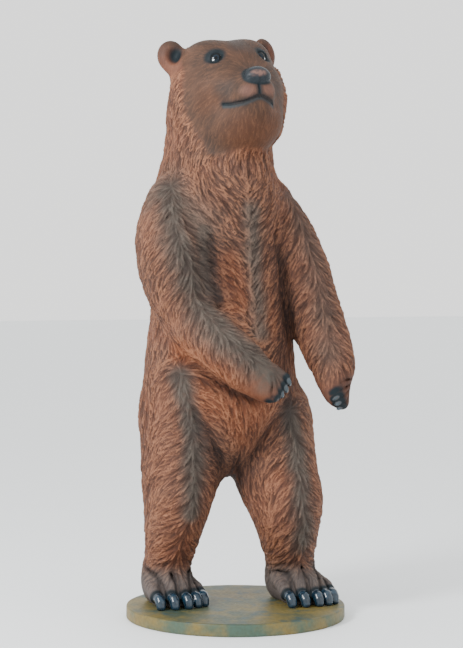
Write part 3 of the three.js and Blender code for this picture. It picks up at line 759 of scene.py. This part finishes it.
def short_hair(points):
    """1 where the hair is short: the face, ears, toes and fingers."""
    side, forward, up = head_place(points).T
    face = 1 - smooth(behind_face(points), -10, 12)
    ears = smooth(up, 20, 45) * smooth(np.abs(side), 118, 135) * smooth(forward + up * 0.3, -90, -40)
    feet = 1 - smooth(points[:, 2], 45, 125)
    wrists = [np.linalg.norm(points - line[-1, :3], axis=1) for line in (right_arm, left_arm)]
    hands = [1 - smooth(away, 60, 130) for away in wrists]
    return np.maximum.reduce([face, ears, feet, *hands])


# Locks of fur, laid over each other like shingles

LEAST_HEIGHT = 0.28


def cell_key(cell):
    """One number for each cell of a grid."""
    return (cell[:, 0] * 4096 + cell[:, 1]) * 4096 + cell[:, 2]


def lock_seeds(points, spacing, rng):
    """One point in each cell of this size, chosen at random."""
    key = cell_key(np.floor(points / spacing).astype(np.int64))
    order = rng.permutation(len(points))
    _, first = np.unique(key[order], return_index=True)
    return order[first]


def laid_locks(points, out, seeds, seed_out, seed_down, length, width, crest):
    """The height of the tallest lock over each point, with the place across and along it and its number."""
    n = len(seeds)
    across = np.cross(seed_out, seed_down)
    scale = 0.75 + 0.5 * rng.random(n)
    tall = 0.7 + 0.3 * rng.random(n)
    hook = rng.normal(0, 0.17, n)
    own = rng.random(n)
    reach = length * 0.72
    key = cell_key(np.floor(seeds / reach).astype(np.int64))
    order = np.argsort(key, kind="stable")
    sorted_key = key[order]
    home = np.floor(points / reach).astype(np.int64)
    best = np.zeros(len(points), np.float32)
    place = np.zeros((len(points), 3), np.float32)
    f32 = np.float32
    table = np.concatenate([seeds, seed_out, seed_down, across], 1).astype(f32)[order]
    scale, tall, hook, own = (v.astype(f32)[order] for v in (scale, tall, hook, own))
    points, out = points.astype(f32), out.astype(f32)
    for step in np.ndindex(3, 3, 3):
        want = cell_key(home + np.array(step) - 1)
        low, high = np.searchsorted(sorted_key, want, "left"), np.searchsorted(sorted_key, want, "right")
        rows = np.flatnonzero(high > low)
        if len(rows) == 0:
            continue
        counts = (high - low)[rows]
        row = np.repeat(rows, counts)
        start = np.cumsum(counts) - counts
        lock = np.repeat(low[rows], counts) + np.arange(len(row)) - np.repeat(start, counts)
        gap = points[row] - table[lock, 0:3]
        span = length * scale[lock]
        t = (gap * table[lock, 6:9]).sum(1) / span + f32(0.5)
        half = width * scale[lock] * np.sqrt(np.clip(1 - t, 0, 1)) * (0.55 + 0.75 * t)
        side = (gap * table[lock, 9:12]).sum(1) - hook[lock] * span * (t - f32(0.4)) ** 2 * 1.6
        side = side / np.maximum(half, 0.5)
        facing = (out[row] * table[lock, 3:6]).sum(1)
        rise = 0.35 + 0.65 * np.clip(t / 0.75, 0, 1)
        height = rise * (1 - crest * side * side) * tall[lock]
        height[(t < 0) | (t > 1) | (np.abs(side) > 1) | (facing < 0.3)] = 0
        top = np.maximum.reduceat(height, start)
        won = np.flatnonzero((height >= np.repeat(top, counts)) & (height > best[row]))
        best[row[won]] = height[won]
        place[row[won], 0] = side[won]
        place[row[won], 1] = t[won]
        place[row[won], 2] = own[lock[won]]
    return np.maximum(best, LEAST_HEIGHT), place


rng = np.random.default_rng(SEED)
values, low = grid_of(figure, GRID_LOW, GRID_HIGH, STEP)
points, quads = skin_of(values, low, STEP)
points, out = settled(points, figure, 1)
edges = np.unique(edges_of(quads), axis=0)
flow = fur_flow(points)
flow = evened(unit(flow - out * (flow * out).sum(1, keepdims=True)), edges, 8)

points, quads, carried = subdivided(points, quads)
flow = carried(flow)
points, out = settled(points, figure, 2)


def lie(points, out, flow, salt):
    """The fur's direction in the surface, swung a little from side to side."""
    flow = unit(flow - out * (flow * out).sum(1, keepdims=True))
    swing = 0.38 * noise(points, 80, salt) + 0.16 * noise(points, 30, salt + 1)
    return flow * np.cos(swing)[:, None] + np.cross(out, flow) * np.sin(swing)[:, None]


def locks_over(spacing, length, width, crest, salt):
    chosen = lock_seeds(points, spacing, rng)
    down = lie(points[chosen], out[chosen], flow[chosen], salt)
    seeds = points[chosen] + down * length * 0.08
    return laid_locks(points, out, seeds, out[chosen], down, length, width, crest)


strands, strand_place = locks_over(spacing=12.0, length=60.0, width=5.6, crest=0.65, salt=3)
locks, _ = locks_over(spacing=23.0, length=96.0, width=10.5, crest=0.55, salt=5)
clumps, _ = locks_over(spacing=48.0, length=150.0, width=27.0, crest=0.4, salt=7)
short = short_hair(points)
share = 1 - short
local = head_place(points)
behind = behind_face(points)
ruff = np.exp(-(((behind - 16) / 16) ** 2)) * (0.3 + 0.7 * smooth(local[:, 2], -290, -200))
ruff *= 1 - smooth(local[:, 2], 10, 40)
toes = 1 - smooth(points[:, 2], 30, 70)
fine_share = share + short * (0.17 + 0.33 * (1 - smooth(points[:, 2], 150, 260))) * (1 - toes)
STRAND_LIFT, LOCK_LIFT, CLUMP_LIFT, RUFF_LIFT = 3.6, 8.0, 7.0, 4.0
coarse = (locks - 0.5) * LOCK_LIFT + (clumps - 0.5) * CLUMP_LIFT
lift = fine_share * (strands - 0.5) * STRAND_LIFT + share * coarse + ruff * RUFF_LIFT
nose_and_eyes = placed(beside([nose, *eye_balls]), HEAD_AT, HEAD_TURN)
lift *= smooth(values_at(beside([all_claws, nose_and_eyes]), points), 1, 8)
carved = points + out * lift[:, None]
carved[:, 2] = np.maximum(carved[:, 2], 0)

bear_low, bear_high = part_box("bear")
scale = (bear_high.z - bear_low.z) / carved[:, 2].max()


def in_metres(p):
    return p * scale + np.array([0, 0, bear_low.z])


# What is painted where, worked out from the same shapes


def around(place, centre, stretch, near, far):
    """1 at a centre, fading to 0 between two distances, stretched along each axis."""
    return 1 - smooth(np.linalg.norm((place - np.array(centre)) / np.array(stretch), axis=1), near, far)


claw_d = values_at(all_claws, points)
skin_d = values_at(skin, points)
claw_mask = smooth(skin_d - claw_d, -1.5, 1.5)
nose_d = values_at(nose, local)
eye_d = np.minimum(*[values_at(e, local) for e in eye_balls])
lid_d = np.minimum(*[values_at(lid(s), local) for s in SIDES])
eye_mask = smooth(np.minimum(lid_d, values_at(head_skin, local)) - eye_d, -1.2, 1.2) * (eye_d < 3)
toward_view = HEAD_TURN @ VIEW_NEAR
# eye_white holds the ring of the iris, up to 0.45, and the whites at the corners, up to 1
eye_halo, eye_white, ear_dark = np.zeros(len(points)), np.zeros(len(points)), np.zeros(len(points))
for s in SIDES:
    spot = local - np.array([s * (EYE[0] + 1), EYE[1] + 6, EYE[2] + 1])
    eye_halo = np.maximum(eye_halo, around(spot, (0, 0, 0), (1.15, 1, 0.9), 22, 52))
    gaze = np.linalg.norm(spot - (spot @ toward_view)[:, None] * toward_view, axis=1)
    eye_white = np.maximum(eye_white, 0.45 * (1 - smooth(np.abs(gaze - 9), 2, 4)))
    for aside, lower, size in ((-16.5, -9, 4.6), (14.5, -9, 4.2)):
        at_corner = np.hypot((spot[:, 0] - aside) / 1.2, spot[:, 2] - lower)
        eye_white = np.maximum(eye_white, 1 - smooth(at_corner, size * 0.5, size))
    spot = (local - np.array([s * EAR_AT[0], EAR_AT[1], EAR_AT[2]])) @ ear_axes(s).T
    ear_dark = np.maximum(ear_dark, around(spot, (s * -19, 10, -4), (38, 36, 44), 0.3, 1.1))
eye_white *= eye_mask
ear_dark *= smooth(local[:, 1], -40, -10)
mouth_lines = [lips[:, :3], philtrum[:, :3]]
mouth = np.maximum(*[near_line(local, line, 12) for line in mouth_lines])
lip = near_line(local + np.array([0, 0, 9.0]), mouth_lines[0], 10)
mouth_halo = np.maximum(*[near_line(local, line, 27) for line in mouth_lines])
nose_mask = smooth(-nose_d, -2.5, 0.5)
nose_pink = around(local, (1, 274, -68), (38, 26, 17), 0.45, 1.05)
nose_halo = 1 - smooth(nose_d, 0, 15)
claw_halo = (1 - smooth(claw_d, 0, 20)) * (1 - claw_mask)
dark = np.maximum.reduce([mouth, nose_halo * 0.9, eye_halo, mouth_halo * 0.6, claw_halo, ear_dark * 0.85])

trunk_d = values_at(trunk, points)
arm_d = np.minimum(*[values_at(shape, points) for _, shape in limb_shapes[:2]])
# Painted shade: darker where the arms and trunk meet, the deeper the fillet between them, and along each fold
# line below
fold = smooth(np.minimum(trunk_d, arm_d) - skin_d, 3, 10) * (1 - smooth(points[:, 2], 1300, 1400))
crease_shade = 0.45 * fold * (points[:, 2] > 780)
wander = noise(points, 45, 31) * 12 + noise(points, 18, 32) * 5
for line, (reach, strength) in zip(fold_lines, FOLD_SHADES):
    d = from_line(points, line)[0] - line[:, 3].max() * 0.65 + wander * 0.25
    d = np.maximum(d, 0) / reach
    thin_ends = smooth(points[:, 2] - line[-1, 2], -40, 30) * smooth(line[0, 2] - points[:, 2], -30, 110)
    core, halo = np.exp(-((d * 3.4) ** 2)), 0.6 * np.exp(-(d * d))
    crease_shade = np.maximum(crease_shade, strength * thin_ends * np.maximum(core, halo))
# Painted shade in the gaps between the toes and between the fingers
for line in gap_lines:
    d = np.maximum(from_line(points, line)[0] - 5, 0)
    strength = 0.7 if line[0, 2] < FEET_TOP else 0.35
    crease_shade = np.maximum(crease_shade, strength * np.exp(-((d / 8) ** 2)) * (d < 30))
# Painted shade down the bear's left side and the side of its belly, away from the key light
flank_shade = [(150, -81, 930), (136, -100, 832), (150, -90, 760), (160, -83, 700), (120, -98, 640), (60, -90, 570)]
crease_shade = np.maximum(crease_shade, 0.5 * (1 - smooth(from_line(points, flank_shade)[0] + wander, 15, 80)))
# Painted shade between the thighs, at the crotch
crease_shade = np.maximum(crease_shade, 0.62 * around(points, (-10, 20, 500), (1, 1, 1), 70, 180))

# Grey bands of fur, each a line with its reach and strength
GREY_BANDS = (
    (RIGHT_ARM_PARTING, 92, 1.0),
    ([(-150, -84, 1300), (-142, -92, 1200), (-132, -98, 1110)], 66, 0.9),
    (LEFT_ARM_PARTING, 70, 0.5),
    (RIGHT_LEG_PARTING[:6], 56, 1.0),
    (LEFT_LEG_PARTING[:5], 62, 1.0),
    ([(22, -125, 1370), (34, -107, 1229), (46, -108, 1092), (50, -129, 955)], 52, 0.85),
    ([(-240, 40, 1440), (-215, -20, 1370), (-180, -60, 1330)], 130, 0.8),
)
grey_paint_and_shade = np.zeros(len(points))
for line, reach, strength in GREY_BANDS:
    d = from_line(points, line)[0] + wander
    grey_paint_and_shade = np.maximum(grey_paint_and_shade, strength * (1 - smooth(d, reach * 0.1, reach * 1.15)))
on_face = 1 - smooth(behind, -15, 15)
brow = (1 - smooth(np.abs(local[:, 0] - 5), 10, 55)) * smooth(local[:, 2], 20, 90)
brow *= smooth(local[:, 1], 20, 90)
# Painted shade on the cheeks beside the muzzle
cheek_shade = around(np.abs(local), (90, 196, 92), (1, 1, 0.8), 15, 60)
grey_paint_and_shade = np.maximum.reduce([grey_paint_and_shade * (1 - on_face), 0.8 * brow, 0.4 * cheek_shade])
# Painted light: a pink highlight on the bulge of the upper lip, each side of the philtrum
pink_lip_highlight = around(np.abs(local), (36, 250, 122), (1.1, 1, 0.8), 10, 40)
grey_paint_and_shade = np.maximum(grey_paint_and_shade, 0.35 * smooth(out[:, 1], 0.1, 0.9) * (1 - on_face))
grey_paint_and_shade = np.maximum(grey_paint_and_shade, 0.8 * (1 - smooth(points[:, 2] + wander, 90, 170)))


def warm_spot(line, reach, strength):
    return strength * (1 - smooth(from_line(points, line)[0] + wander, reach * 0.3, reach))


warm = np.maximum.reduce(
    [
        warm_spot([(-200, -70, 900), (-110, -180, 850), (-30, -260, 790), (10, -280, 770)], 85, 0.9),
        warm_spot([(-110, -120, 760), (-20, -150, 690), (20, -130, 620)], 150, 0.75),
        warm_spot([(-70, -110, 1190), (-40, -110, 1060)], 75, 0.7),
        warm_spot([(60, -110, 1060), (80, -110, 960)], 70, 0.4),
        warm_spot([(-230, -20, 330), (-225, -10, 230)], 110, 0.4),
        warm_spot([(150, -60, 420), (160, -40, 280)], 100, 0.6),
        0.9 * around(local, (10, 130, -215), (1.15, 1, 1), 50, 140),
        0.5 * around(local, (-110, 110, -110), (1, 1, 1), 30, 90),
    ]
)


# Mesh objects


def mesh_object(name, points, faces, normals=None, values=None):
    mesh = bpy.data.meshes.new(name)
    mesh.vertices.add(len(points))
    mesh.vertices.foreach_set("co", points.astype(np.float32).ravel())
    width = faces.shape[1]
    mesh.loops.add(faces.size)
    mesh.loops.foreach_set("vertex_index", faces.astype(np.int32).ravel())
    mesh.polygons.add(len(faces))
    mesh.polygons.foreach_set("loop_start", np.arange(len(faces), dtype=np.int32) * width)
    mesh.update(calc_edges=True)
    mesh.validate()
    mesh.shade_smooth()
    for key, value in (values or {}).items():
        layer = mesh.attributes.new(key, "FLOAT_COLOR", "POINT")
        layer.data.foreach_set("color", value.astype(np.float32).ravel())
    if normals is not None:
        mesh.normals_split_custom_set_from_vertices(normals.astype(np.float32))
    made = bpy.data.objects.new(name, mesh)
    bpy.context.scene.collection.objects.link(made)
    return made


def facing(points, quads):
    """The direction out of a mesh at each of its points."""
    a, b, c, d = (points[quads[:, k]] for k in range(4))
    normal = np.cross(c - a, d - b)
    corners = quads.ravel()
    total = np.stack([np.bincount(corners, np.repeat(normal[:, i], 4), len(points)) for i in range(3)], 1)
    return unit(total)


def stacked(*parts):
    return np.stack([np.broadcast_to(p, len(points)) for p in parts], 1)


world = in_metres(carved)
world_out = facing(world, quads)
paint = {
    "fur": stacked(strands, locks, strand_place[:, 0] * 0.5 + 0.5, strand_place[:, 1]),
    "tone": stacked(grey_paint_and_shade, warm, dark, on_face),
    "hard": stacked(claw_mask, nose_mask, eye_mask, 1),
    "more": stacked(crease_shade, eye_white, strand_place[:, 2], lip),
    "small": stacked(nose_pink, fine_share, pink_lip_highlight, ruff),
}
heights = world[quads].mean(1)[:, 2]
names = ("bear_feet", "bear_knees", "bear_hips", "bear_belly", "bear_shoulders", "bear_head")
cuts = [-1, *np.quantile(heights, np.arange(1, len(names)) / len(names)), 9]
bear_pieces = []
for name, low_cut, high_cut in zip(names, cuts, cuts[1:]):
    own = quads[(heights >= low_cut) & (heights < high_cut)]
    used, renamed = np.unique(own, return_inverse=True)
    own_paint = {key: value[used] for key, value in paint.items()}
    bear_pieces.append(mesh_object(name, world[used], renamed.reshape(-1, 4), world_out[used], own_paint))


# Base: a thin disc with a soft, slightly uneven edge

base_low, base_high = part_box("base")
BASE_RADIUS = (base_high.x - base_low.x) / 2
BASE_THICKNESS = base_high.z
ROUND = 0.005
TURNS = 240
angle = np.arange(TURNS) * 2 * math.pi / TURNS
corner = np.linspace(0, math.pi / 2, 5)
profile = [(r, 0) for r in (0.001, 0.1, 0.2, 0.3, 0.36)]
INSIDE_ROUND = BASE_RADIUS - ROUND
profile += [(INSIDE_ROUND + ROUND * math.sin(a), ROUND - ROUND * math.cos(a)) for a in corner]
profile += [(BASE_RADIUS, z) for z in np.linspace(ROUND, BASE_THICKNESS - ROUND, 7)[1:-1]]
TOP_ROUND = BASE_THICKNESS - ROUND
profile += [(INSIDE_ROUND + ROUND * math.cos(a), TOP_ROUND + ROUND * math.sin(a)) for a in corner]
profile += [(r, BASE_THICKNESS) for r in np.linspace(BASE_RADIUS - 2 * ROUND, 0.001, 38)]
profile = np.array(profile)
disc = np.stack(
    [
        profile[:, :1] * np.cos(angle),
        profile[:, :1] * np.sin(angle),
        np.repeat(profile[:, 1:], TURNS, 1),
    ],
    -1,
).reshape(-1, 3)
ripple = noise(disc * 1000, 60, 21)
edge_share = smooth(np.linalg.norm(disc[:, :2], axis=1), BASE_RADIUS - 0.03, BASE_RADIUS)
grow = 1 + edge_share * (ripple * 0.0012 - 0.0006) / BASE_RADIUS
disc[:, :2] *= grow[:, None]
on_top = disc[:, 2] > BASE_THICKNESS - 0.001
disc[on_top, 2] += 0.0006 * noise(disc[on_top] * 1000, 45, 22) - 0.0004
rows = len(profile)
index = np.arange(rows * TURNS).reshape(rows, TURNS)
ring = [index[:-1], index[1:], np.roll(index[1:], -1, 1), np.roll(index[:-1], -1, 1)]
disc_quads = np.stack([r.ravel() for r in ring[::-1]], 1)
base_piece = mesh_object("base_disc", disc, disc_quads)


# Materials


def linear(r, g, b):
    """A colour given as on a screen, from 0 to 255, in the linear values that nodes take."""
    def one(v):
        v = v / 255
        return v / 12.92 if v < 0.04045 else ((v + 0.055) / 1.055) ** 2.4

    return (one(r), one(g), one(b), 1)


class Nodes:
    """Short names for building a material."""

    def __init__(self, name):
        self.material = bpy.data.materials.new(name)
        self.material.use_nodes = True
        self.tree = self.material.node_tree
        self.shader = self.tree.nodes["Principled BSDF"]

    def put(self, socket, value):
        if isinstance(value, bpy.types.NodeSocket):
            self.tree.links.new(value, socket)
        else:
            socket.default_value = value

    def set(self, name, value):
        self.put(self.shader.inputs[name], value)

    def node(self, kind, inputs=(), **settings):
        made = self.tree.nodes.new(kind)
        for key, value in settings.items():
            setattr(made, key, value)
        for key, value in dict(inputs).items():
            self.put(made.inputs[key], value)
        return made

    def math(self, operation, a, b):
        return self.node("ShaderNodeMath", {0: a, 1: b}, operation=operation).outputs[0]

    def times(self, a, b):
        return self.math("MULTIPLY", a, b)

    def mix(self, factor, a, b):
        return self.node("ShaderNodeMix", {0: factor, 6: a, 7: b}, data_type="RGBA").outputs[2]

    def blend(self, factor, a, b):
        return self.node("ShaderNodeMix", {0: factor, 2: a, 3: b}, data_type="FLOAT").outputs[0]

    def ramp(self, value, low, high, to_low=0.0, to_high=1.0):
        made = self.node("ShaderNodeMapRange", {0: value, 1: low, 2: high, 3: to_low, 4: to_high})
        made.interpolation_type = "SMOOTHSTEP"
        return made.outputs[0]

    def noise(self, where, scale, detail=3.0, rough=0.55):
        inputs = {"Vector": where, "Scale": scale, "Detail": detail, "Roughness": rough}
        return self.node("ShaderNodeTexNoise", inputs).outputs["Fac"]

    def bump(self, height, strength, distance):
        made = self.node("ShaderNodeBump", {"Height": height, "Strength": strength, "Distance": distance})
        self.set("Normal", made.outputs[0])

    def split(self, name):
        read = self.node("ShaderNodeAttribute", attribute_name=name)
        parts = self.node("ShaderNodeSeparateColor", {0: read.outputs["Color"]}).outputs
        return parts[0], parts[1], parts[2], read.outputs["Alpha"]


def fur_material():
    n = Nodes("painted_fur")
    where = n.node("ShaderNodeTexCoord").outputs["Object"]
    strand, lock, across, along = n.split("fur")
    grey_paint_and_shade, warm, dark, face = n.split("tone")
    claw, nose_part, eye, _ = n.split("hard")
    crease_shade, white, own, lip = n.split("more")
    pink, fine_share, pink_lip_highlight, ruff = n.split("small")
    patches = n.noise(where, 7.0, 4.0)
    specks = n.noise(where, 55.0, 3.0)
    grain = n.noise(where, 300.0, 2.0)
    hair_place = n.node(
        "ShaderNodeCombineXYZ",
        {0: n.times(across, 3.2), 1: n.times(along, 1.6), 2: n.times(own, 40.0)},
    ).outputs[0]
    hairs = n.noise(hair_place, 2.2, 1.0)

    brown = n.mix(n.ramp(patches, 0.35, 0.68), linear(78, 49, 38), linear(106, 67, 52))
    drift = n.noise(where, 3.6, 3.0)
    brown = n.mix(n.ramp(drift, 0.45, 0.62, 0.0, 0.5), brown, linear(66, 54, 48))
    brown = n.mix(n.ramp(drift, 0.42, 0.3, 0.0, 0.5), brown, linear(116, 70, 50))
    brown = n.mix(n.times(warm, 0.85), brown, linear(112, 57, 27))
    brown = n.mix(n.times(grey_paint_and_shade, n.ramp(specks, 0.25, 0.6, 0.75, 1.0)), brown, linear(74, 67, 60))
    skin_tone = n.mix(n.ramp(n.noise(where, 14.0, 3.0), 0.35, 0.7), linear(50, 38, 30), linear(71, 51, 39))
    skin_tone = n.mix(n.times(warm, 0.75), skin_tone, linear(78, 43, 20))
    # Grey paint on the face, and the painted shade on the cheeks beside the muzzle
    skin_tone = n.mix(n.times(grey_paint_and_shade, 0.8), skin_tone, linear(46, 42, 42))
    # Painted light: the pink highlight on the upper lip
    skin_tone = n.mix(n.times(pink_lip_highlight, 0.7), skin_tone, linear(116, 82, 72))
    brown = n.mix(n.times(face, 0.85), brown, skin_tone)
    height = n.node("ShaderNodeSeparateXYZ", {0: where}).outputs[2]
    foot_tone = n.mix(specks, linear(58, 57, 60), linear(102, 95, 92))
    brown = n.mix(n.ramp(height, 0.19, 0.12, 0.0, 0.7), brown, foot_tone)

    valley = n.math("MAXIMUM", n.ramp(strand, 0.6, 0.25), n.ramp(lock, 0.62, 0.28, 0.0, 0.85))
    brown = n.mix(n.times(n.times(valley, fine_share), 0.66), brown, linear(32, 20, 18))
    tip = n.times(n.ramp(strand, 0.55, 0.86), n.ramp(along, 0.3, 0.8))
    tip = n.times(tip, n.ramp(n.math("ADD", lock, n.times(specks, 0.5)), 0.55, 1.15, 0.1, 1.0))
    tip = n.times(tip, n.math("ADD", fine_share, n.times(ruff, 0.6)))
    tip_tone = n.mix(grey_paint_and_shade, linear(184, 126, 92), linear(112, 101, 92))
    brown = n.mix(n.times(tip, 0.5), brown, tip_tone)
    brown = n.mix(n.times(n.ramp(hairs, 0.52, 0.7, 0.0, 0.2), fine_share), brown, tip_tone)
    brown = n.mix(n.times(n.ramp(hairs, 0.48, 0.3, 0.0, 0.4), fine_share), brown, linear(34, 22, 20))
    brown = n.mix(n.ramp(grain, 0.35, 0.7, 0.0, 0.18), brown, linear(50, 36, 33))
    # Painted shade, near black, in the folds, the gaps between toes and fingers, down the left side and at
    # the crotch
    brown = n.mix(n.times(crease_shade, 0.88), brown, linear(20, 20, 22))

    airbrush = n.mix(patches, linear(9, 16, 20), linear(18, 30, 36))
    colour = n.mix(n.ramp(dark, 0.05, 0.85), brown, airbrush)
    colour = n.mix(n.times(lip, 0.6), colour, linear(40, 56, 62))
    slate_and_highlight = n.mix(n.ramp(specks, 0.3, 0.7), linear(13, 30, 42), linear(26, 50, 66))
    # Painted highlight: the claws of the hands, above half a metre, turn paler grey
    slate_and_highlight = n.mix(n.ramp(height, 0.5, 0.6, 0.0, 0.4), slate_and_highlight, linear(84, 90, 90))
    nose_tone = n.mix(pink, linear(16, 24, 30), linear(112, 84, 76))
    nose_tone = n.mix(n.ramp(specks, 0.38, 0.6, 0.0, 0.75), nose_tone, linear(34, 40, 46))
    colour = n.mix(nose_part, colour, nose_tone)
    colour = n.mix(claw, colour, slate_and_highlight)
    eye_tone = n.mix(n.ramp(white, 0.0, 0.45), linear(4, 6, 8), linear(20, 32, 42))
    eye_tone = n.mix(n.ramp(white, 0.5, 0.9), eye_tone, linear(222, 226, 226))
    colour = n.mix(eye, colour, eye_tone)
    n.set("Base Color", colour)

    rough = n.blend(specks, 0.56, 0.76)
    rough = n.blend(nose_part, rough, 0.34)
    rough = n.blend(claw, rough, 0.2)
    rough = n.blend(eye, rough, 0.14)
    n.set("Roughness", rough)
    n.set("Specular IOR Level", 0.22)
    n.set("Coat Weight", n.times(claw, n.ramp(height, 0.5, 0.6, 0.6, 0.15)))
    n.set("Coat Roughness", 0.2)

    relief = n.math("ADD", n.times(n.times(hairs, fine_share), 1.6), n.times(grain, 0.5))
    soft = n.math("SUBTRACT", 1.0, n.math("MAXIMUM", eye, claw))
    n.bump(n.times(relief, soft), 0.8, 0.0014)
    return n.material


def base_material():
    n = Nodes("painted_base")
    where = n.node("ShaderNodeTexCoord").outputs["Object"]
    wide = n.noise(where, 6.0, 5.0, 0.6)
    blots = n.noise(where, 16.0, 5.0, 0.65)
    fine = n.noise(where, 90.0, 3.0)
    colour = n.mix(n.ramp(wide, 0.38, 0.62), linear(56, 68, 54), linear(104, 90, 42))
    colour = n.mix(n.ramp(blots, 0.5, 0.68), colour, linear(46, 68, 68))
    colour = n.mix(n.ramp(blots, 0.5, 0.3, 0.0, 0.6), colour, linear(120, 104, 48))
    height = n.node("ShaderNodeSeparateXYZ", {0: where}).outputs[2]
    rim = n.ramp(height, BASE_THICKNESS - 0.001, BASE_THICKNESS - 0.006)
    rim_tone = n.mix(n.ramp(wide, 0.4, 0.62), linear(66, 88, 76), linear(118, 100, 52))
    colour = n.mix(n.times(rim, 0.8), colour, rim_tone)
    colour = n.mix(n.ramp(fine, 0.35, 0.7, 0.0, 0.3), colour, linear(54, 56, 40))
    n.set("Base Color", colour)
    n.set("Roughness", n.blend(fine, 0.4, 0.62))
    n.set("Specular IOR Level", 0.3)
    n.bump(n.math("ADD", blots, fine), 0.5, 0.0015)
    return n.material


fur = fur_material()
for piece in bear_pieces:
    piece.data.materials.append(fur)
    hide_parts("bear")
    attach(piece, "root")
base_piece.data.materials.append(base_material())
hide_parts("base")
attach(base_piece, "root")


# Floor, light and camera

floor = mesh_object(
    "floor",
    np.array([[-30, -30, 0], [30, -30, 0], [30, 30, 0], [-30, 30, 0]], float),
    np.array([[0, 1, 2, 3]]),
)
paper = Nodes("floor_paint")
paper.set("Base Color", linear(236, 240, 242))
paper.set("Roughness", 0.6)
floor.data.materials.append(paper.material)

sky = bpy.data.worlds.new("studio")
sky.use_nodes = True
sky.node_tree.nodes["Background"].inputs[0].default_value = linear(250, 250, 249)
sky.node_tree.nodes["Background"].inputs[1].default_value = 1.75
bpy.context.scene.world = sky


def turned_to(thing, place, target):
    thing.location = place
    thing.rotation_mode = "QUATERNION"
    thing.rotation_quaternion = Vector(target - place).to_track_quat("-Z", "Y")


def area_light(name, right, near, up, size, power):
    lamp = bpy.data.lights.new(name, "AREA")
    lamp.shape = "DISK"
    lamp.size = size
    lamp.energy = power
    made = bpy.data.objects.new(name, lamp)
    bpy.context.scene.collection.objects.link(made)
    turned_to(made, seen(right, near, up), np.array([0, 0, 1.05]))


area_light("key", -3.0, 3.0, 3.4, 1.5, 300)
area_light("fill", 3.6, 3.0, 1.8, 2.6, 20)

CAMERA_DISTANCE = 6.55
CAMERA_HEIGHT = 1.25
FOCAL_PIXELS = 1893
PHOTO_HEIGHT = 648
AIM = seen(-0.0138, 0, 1.016)
lens = bpy.data.cameras.new("camera")
lens.lens = lens.sensor_width * FOCAL_PIXELS / PHOTO_HEIGHT
camera = bpy.data.objects.new("camera", lens)
bpy.context.scene.collection.objects.link(camera)
turned_to(camera, seen(0, CAMERA_DISTANCE, CAMERA_HEIGHT), AIM)
bpy.context.scene.camera = camera
bpy.context.view_layer.update()
